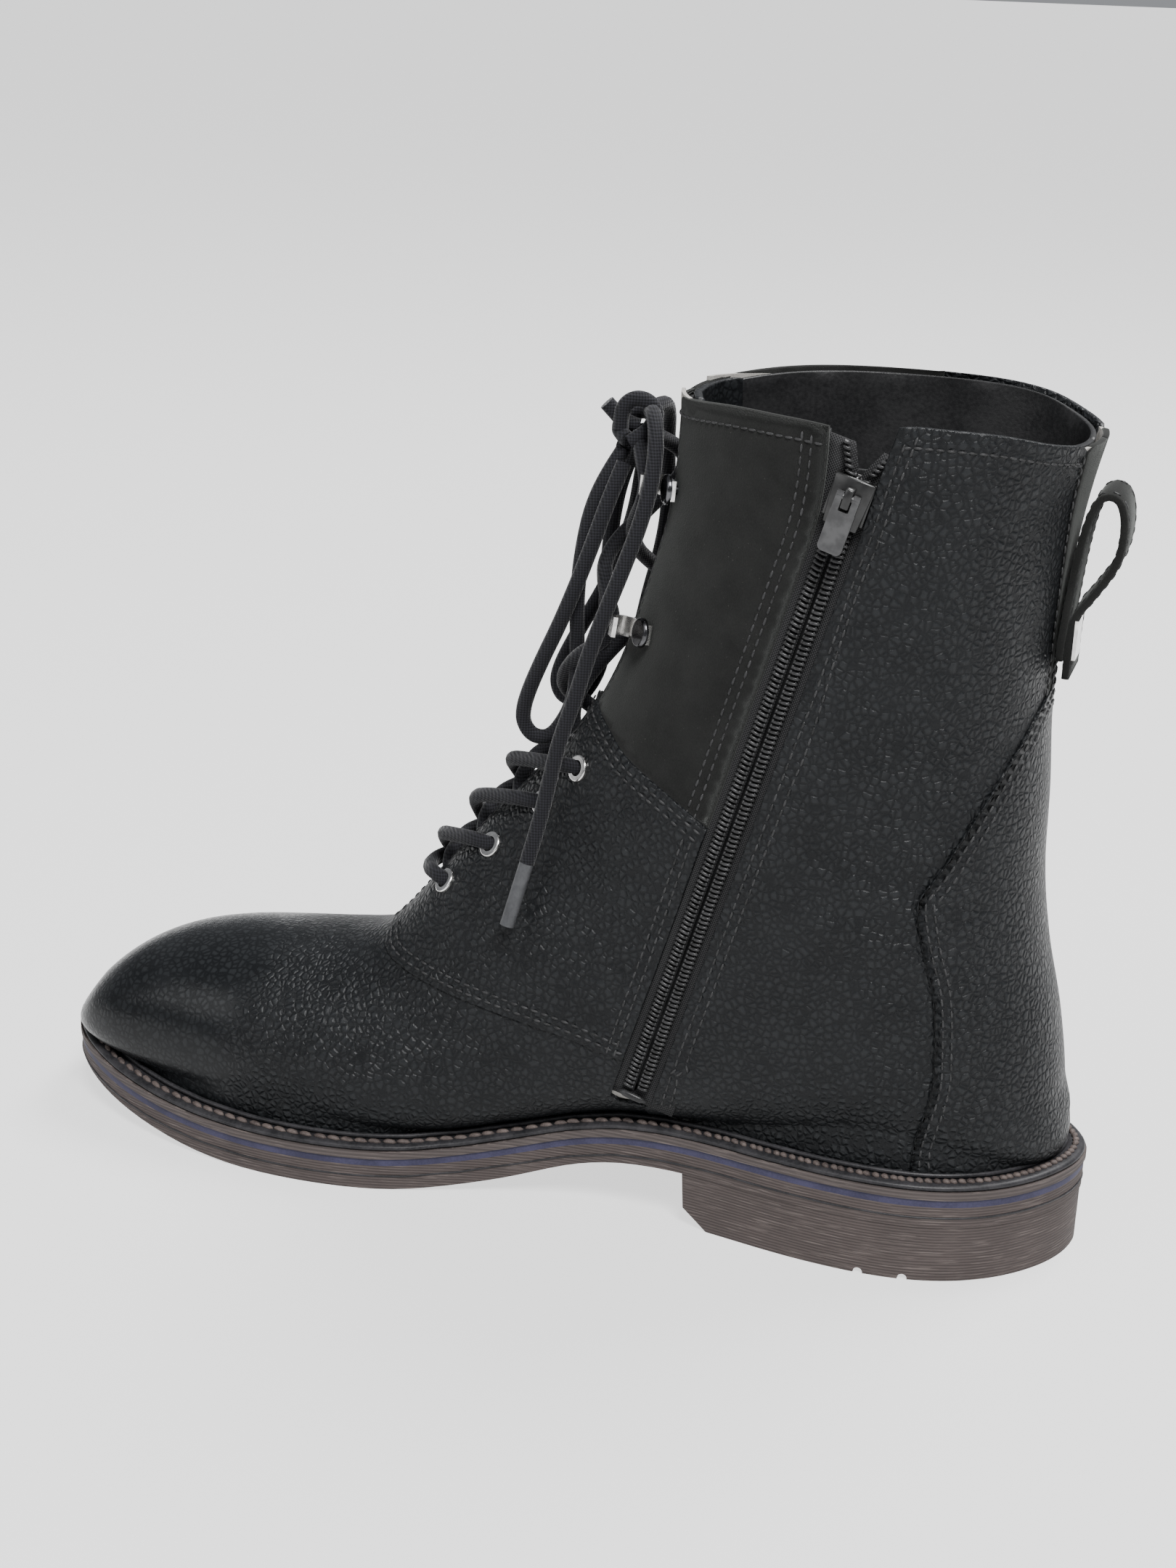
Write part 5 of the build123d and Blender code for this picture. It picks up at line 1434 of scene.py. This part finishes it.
@dataclass
class Laces:
    """The lacing through the eyelets and hooks, the knot, the two bow loops and the two ends."""

    finishes: Finishes
    radius: float = 2.1
    diameter: float = 4.2

    def __post_init__(self) -> None:
        """The routes, in the drawing's coordinates."""
        self.loop_inner = [
            (14.0, -8.0, 209.4), (10.4, -10.6, 202.8), (7.0, -12.4, 193.6), (5.2, -13.0, 182.6), (4.3, -13.2, 171.0),
            (4.6, -12.8, 159.6), (4.9, -12.4, 149.4), (4.2, -12.2, 141.0), (1.5, -12.2, 134.4), (-2.2, -12.4, 129.3),
            (-6.9, -12.9, 129.1), (-9.6, -13.7, 132.9), (-9.3, -14.6, 137.6), (-7.2, -15.8, 143.8), (-3.4, -17.2, 152.6),
            (1.4, -18.2, 163.0), (5.8, -18.0, 174.6), (9.6, -16.6, 186.6), (12.4, -13.8, 197.4), (15.0, -10.6, 206.2)]
        self.loop_outer = [(x + 0.6, 0.8 - 1.9 * (y + 8.0), 209.4 + 0.94 * (z - 209.4)) for x, y, z in self.loop_inner]
        self.end_inner = [
            (20.4, -6.6, 219.6), (22.6, -11.6, 220.4), (25.4, -17.4, 215.6), (26.6, -22.4, 206.4), (25.2, -26.0, 195.4),
            (21.6, -28.0, 183.2), (17.4, -28.6, 171.2), (13.2, -28.6, 159.0), (10.0, -28.6, 146.6), (6.0, -28.8, 134.4),
            (3.8, -29.6, 122.2), (1.8, -31.0, 110.4), (-0.4, -33.4, 100.2)]
        self.end_outer = [
            (19.6, -1.6, 219.4), (20.6, 4.6, 220.6), (20.2, 11.4, 217.2), (18.4, 17.4, 208.8), (17.6, 22.4, 198.0),
            (17.0, 26.0, 186.0), (14.6, 28.6, 174.0), (11.4, 30.0, 162.0), (9.0, 30.6, 149.8), (5.0, 31.0, 137.8),
            (2.6, 31.4, 126.0), (-0.8, 32.0, 114.6), (-3.0, 32.4, 104.8)]
        self.upper_runs = [
            [(5.5, -10.0, 129.0), (1.5, -7.5, 133.5), (2.0, 2.0, 142.0), (10.5, 14.0, 154.0), (19.5, 21.5, 162.5),
             (20.6, 22.0, 168.5), (16.5, 16.0, 173.5), (14.2, 4.0, 181.0), (17.4, -8.0, 190.0), (22.8, -16.5, 198.5),
             (23.4, -17.2, 204.5), (20.0, -12.5, 209.5), (18.4, -8.0, 213.0)],
            [(7.0, 9.0, 129.5), (3.5, 6.5, 134.0), (-3.2, -2.5, 141.0), (3.6, -14.0, 152.5), (15.6, -21.5, 161.5),
             (17.6, -22.0, 167.5), (12.5, -15.0, 173.0), (8.4, -3.5, 180.0), (15.8, 9.5, 190.0), (23.0, 17.0, 198.5),
             (23.8, 18.0, 204.5), (19.5, 11.0, 209.5), (17.0, 0.5, 213.0)]]
        self.eyelets = [(-25.9, -16.6, 82.7), (-12.9, -16.6, 96.0), (2.0, -18.6, 112.0), (12.0, -22.0, 124.8)]

    def seat(self, target: tuple[float, float, float]) -> tuple[np.ndarray, np.ndarray]:
        """The nearest point of the upper's face to a target, and the outward direction there."""
        place, phi = np.meshgrid(np.linspace(0, 18, 181), np.linspace(0, 2 * math.pi, 241))
        place, phi = place.ravel(), phi.ravel()
        points = FACE.point(place, phi)
        k = int(np.argmin(np.linalg.norm(points - np.array(target), axis=1)))
        return points[k], FACE.normal(place[k:k + 1], phi[k:k + 1])[0]

    def over(self, y: float, z: float, out: float) -> np.ndarray:
        """A point out from the front ridge."""
        x = -50 + 76 * (z - 64) / 130 if z < 194 else 24.0
        point, normal = self.seat((x, y, z))
        return point + normal * out

    def crossing(self, low: tuple, high: tuple, sign: int, hump: float) -> list[np.ndarray]:
        """One strand, from under one eyestay over the tongue and down into an eyelet of the other.

        Args:
            low: The seat of the eyelet that it comes from.
            high: The seat of the eyelet that it enters.
            sign: The side it comes from.
            hump: How far out it stands at the middle.

        Returns:
            Its points.
        """
        z0, z1 = low[0][2] + 1.0, high[0][2]

        def level(share: float) -> float:
            """A height between the two eyelets."""
            return z0 + (z1 - z0) * share
        end, normal = high
        return [self.over(sign * 10.0 - 1.5, level(0.05), -3.0), self.over(sign * 4.6 - 1.5, level(0.26), hump - 1.4),
                self.over(-sign * 1.8 - 1.5, level(0.5), hump), self.over(-sign * 8.6 - 1.5, level(0.78), max(4.0, hump - 1.0)),
                end + normal * 3.4, end - normal * 3.2]

    def curve(self, name: str, routes: list) -> bpy.types.Object:
        """A round lace along each route.

        Args:
            name: The piece's name.
            routes: Lists of points.

        Returns:
            The curve object.
        """
        name = name.replace(" ", "_")
        data = bpy.data.curves.new(name, "CURVE")
        data.dimensions = "3D"
        data.bevel_depth = self.radius * MM
        data.bevel_resolution = 4
        data.resolution_u = 8
        data.use_fill_caps = True
        for route in routes:
            spline = data.splines.new("NURBS")
            spline.points.add(len(route) - 1)
            for point, place in zip(spline.points, route):
                point.co = (*((np.array(place) - ORIGIN) * MM), 1.0)
            spline.order_u = 3
            spline.use_endpoint_u = True
        obj = bpy.data.objects.new(name, data)
        bpy.context.scene.collection.objects.link(obj)
        self.finishes.dress(obj, "lace_cord")
        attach(obj, BOOT)
        return obj

    def free(self, name: str, node: str, route: list, far_end: FarEnd, pieces: list) -> None:
        """One free lace.

        Args:
            name: The piece's name.
            node: The CAD node that it stands for.
            route: Its points.
            far_end: What it runs into; not used.
            pieces: What is on it; not used.
        """
        obj = self.curve(name, [route])
        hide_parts(node)

    def build(self) -> None:
        """Laces the boot."""
        inner = [self.seat(t) for t in self.eyelets]
        outer = [self.seat((x, 2.0 - y, z)) for x, y, z in self.eyelets]
        (left, left_n), (right, right_n) = inner[0], outer[0]
        routes = [[left - left_n * 3.2, left + left_n * 3.2, self.over(-8.5, 84.5, 4.0), self.over(5.5, 84.0, 4.0),
                   right + right_n * 3.2, right - right_n * 3.2]]
        for k in range(3):
            routes.append(self.crossing(inner[k], outer[k + 1], -1, 2.3))
            routes.append(self.crossing(outer[k], inner[k + 1], 1, 6.8))
        lacing = self.curve("crossed lacing", routes + self.upper_runs)
        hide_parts("lacing")
        self.knot()
        for side, loop, end in (("inner", self.loop_inner, self.end_inner), ("outer", self.loop_outer, self.end_outer)):
            self.free(f"{side} bow loop", f"bow_loop_{side}", loop, FarEnd.KNOT, [])
            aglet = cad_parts[f"aglet_{side}"]
            self.finishes.dress(aglet, "aglet_plastic")
            self.free(f"{side} lace end", f"lace_end_{side}", end, FarEnd.SLEEVE, [aglet])

    def knot(self) -> None:
        """The bow's knot: a wrap round the middle, the ring above it and the nub on its left."""
        wrap = [(15.6, -10.4, 212.4), (12.4, -8.2, 213.6), (11.6, -4.4, 215.6), (13.4, -0.8, 217.6), (17.0, -0.2, 218.6),
                (20.2, -2.6, 217.8), (21.0, -6.6, 215.8), (19.0, -9.8, 213.4), (16.2, -10.8, 211.6)]
        ring = [(13.0, -8.6, 214.6), (12.8, -8.8, 219.4), (15.8, -8.6, 223.0), (20.2, -8.0, 222.6), (22.6, -7.4, 218.8),
                (21.2, -7.0, 214.6), (17.0, -7.4, 212.4)]
        nub = [(17.0, -5.2, 215.0), (13.0, -6.4, 216.2), (10.4, -7.6, 219.2), (8.8, -8.2, 221.0)]
        core = [(20.6, -2.0, 214.2), (17.0, -3.4, 213.6), (14.2, -6.0, 212.6), (14.0, -8.6, 209.8)]
        obj = self.curve("bow knot", [wrap, ring, nub, core])
        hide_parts("lace_knot")


@dataclass
class Fittings:
    """Eyelets, hooks and the pull loop."""

    finishes: Finishes
    strap_half: float = 0.95
    strap_y: tuple[float, float] = (-8.0, 12.0)

    def build(self) -> None:
        """Dresses the metal and makes the strap."""
        for node in ("eyelets_inner", "eyelets_outer", "hooks_inner", "hooks_outer", "loop_clip"):
            self.finishes.dress(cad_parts[node], "nickel")
        self.finishes.dress(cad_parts["hook_rivets"], "gunmetal")
        for node in ("toe_puff", "heel_stiffener"):
            self.finishes.dress(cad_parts[node], "stiffener")
        self.finishes.dress(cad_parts["interlining"], "interlining")
        self.strap()

    def strap(self) -> None:
        """The pull loop: one strap folded over and sewn down, with a stitch row near each edge."""
        path = smooth(np.array([(131.0, 166.5), (131.2, 173.0), (132.6, 190.0), (134.4, 202.0), (137.2, 208.6), (141.4, 208.4),
                                (143.4, 202.0), (142.4, 192.5), (137.6, 183.8), (133.9, 178.0), (133.1, 172.0), (133.0, 162.0)]), 6)
        path = walk(path, 1.5)
        run = np.gradient(path, axis=0)
        run /= np.linalg.norm(run, axis=1, keepdims=True)
        across = np.column_stack([-run[:, 1], run[:, 0]])
        y0, y1 = self.strap_y
        h, e = self.strap_half, 0.4
        section = [(-h + e, y0), (h - e, y0), (h, y0 + e), (h, 2.0), (h, y1 - e), (h - e, y1), (-h + e, y1), (-h, y1 - e), (-h, 2.0),
                   (-h, y0 + e)]
        rings = [[(p[0] + a[0] * o, y, p[1] + a[1] * o) for o, y in section] for p, a in zip(path, across)]
        turns = len(section)
        faces = [(k * turns + i, k * turns + (i + 1) % turns, (k + 1) * turns + (i + 1) % turns, (k + 1) * turns + i)
                 for k in range(len(rings) - 1) for i in range(turns)]
        faces += [tuple(range(turns)), tuple(range((len(rings) - 1) * turns, len(rings) * turns))[::-1]]
        obj = outward(mesh_object("pull loop strap", np.array(rings).reshape(-1, 3), faces))
        self.finishes.dress(obj, "suede")
        batch = Batch()
        for k in range(1, len(path) - 1, 2):
            for y in (y0 + 2.2, y1 - 2.2):
                for sign in (-1, 1):
                    place = np.array([path[k][0] + across[k][0] * h * sign, y, path[k][1] + across[k][1] * h * sign])
                    batch.bead(place, np.array([run[k][0], 0.0, run[k][1]]), np.array([across[k][0], 0.0, across[k][1]]) * sign,
                               2.1, 0.33, 0.8)
        thread = batch.make("pull loop stitches")
        self.finishes.dress(thread, "black_thread")
        for piece in (obj, thread):
            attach(piece, BOOT)
        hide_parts("pull_loop")


# ------------------------------------------------------------------ the studio
@dataclass(frozen=True)
class Studio:
    """A pale floor, soft lights and the camera."""

    azimuth: float = 17.94
    elevation: float = 19.03
    roll: float = 2.25
    distance: float = 650.0
    focal: float = 53.51
    target: tuple[float, float, float] = (2.9, 0.0, 112.3)
    shift: tuple[float, float] = (0.0052, 0.0007)
    floor_tone: float = 0.24
    floor_glow: float = 1.30

    def floor(self) -> None:
        """A wide flat floor."""
        s = Shader("floor")
        soft = s.noise(s.place(), 260.0, 1.0)
        tone, tone2 = self.floor_tone, self.floor_tone * 1.01
        material = s.finish(Base_Color=s.mix(soft, (tone,) * 3, (tone2,) * 3), Roughness=0.9, Specular_IOR_Level=0.1,
                            Emission_Color=(1.0, 1.0, 1.0, 1.0), Emission_Strength=self.floor_glow)
        size = 200.0
        mesh = bpy.data.meshes.new("floor")
        mesh.from_pydata([(-size, -size, 0), (size, -size, 0), (size, size, 0), (-size, size, 0)], [], [(0, 1, 2, 3)])
        floor = bpy.data.objects.new("floor", mesh)
        bpy.context.scene.collection.objects.link(floor)
        floor.data.materials.append(material)

    def light(self, name: str, at: tuple[float, float, float], size: float, power: float) -> None:
        """One square soft light that points at the boot."""
        data = bpy.data.lights.new(name, "AREA")
        data.size, data.energy = size, power
        obj = bpy.data.objects.new(name, data)
        obj.location = at
        obj.rotation_euler = (Vector((0.0, 0.0, 0.1)) - Vector(at)).to_track_quat("-Z", "Y").to_euler()
        bpy.context.scene.collection.objects.link(obj)

    def camera(self) -> None:
        """The camera at the viewing angle."""
        a, e, r = (math.radians(v) for v in (self.azimuth, self.elevation, self.roll))
        back = Vector((math.sin(a) * math.cos(e), -math.cos(a) * math.cos(e), math.sin(e)))
        right = Vector((math.cos(a), math.sin(a), 0.0))
        up = back.cross(right)
        x_axis = math.cos(r) * right + math.sin(r) * up
        y_axis = -math.sin(r) * right + math.cos(r) * up
        data = bpy.data.cameras.new("camera")
        data.lens, data.sensor_width = self.focal, 36.0
        data.shift_x, data.shift_y = self.shift
        data.clip_start, data.clip_end = 0.01, 900.0
        obj = bpy.data.objects.new("camera", data)
        place = (Vector(self.target) + back * self.distance - Vector(ORIGIN)) * MM
        obj.matrix_world = Matrix.Translation(place) @ Matrix((x_axis, y_axis, back)).transposed().to_4x4()
        bpy.context.scene.collection.objects.link(obj)
        bpy.context.scene.camera = obj

    def build(self) -> None:
        """Sets the studio up."""
        self.floor()
        world = bpy.data.worlds.new("studio air")
        world.use_nodes = True
        world.node_tree.nodes["Background"].inputs[0].default_value = (0.92, 0.95, 1.0, 1)
        world.node_tree.nodes["Background"].inputs[1].default_value = 0.32
        bpy.context.scene.world = world
        self.light("key light", (0.7, -1.1, 1.9), 0.7, 110.0)
        self.light("fill light", (-1.3, -1.3, 1.3), 1.2, 16.0)
        self.light("top light", (0.6, 0.9, 2.0), 0.9, 90.0)
        self.camera()


def main() -> None:
    """Builds the boot's sub-assemblies in order."""
    logging.basicConfig(level=logging.INFO, format="%(name)s: %(message)s")
    finishes = Finishes()
    for part in (Sole(finishes), Upper(finishes), Inside(finishes), Zip(finishes), Laces(finishes), Fittings(finishes), Studio()):
        part.build()


if __name__ == "__main__":
    main()
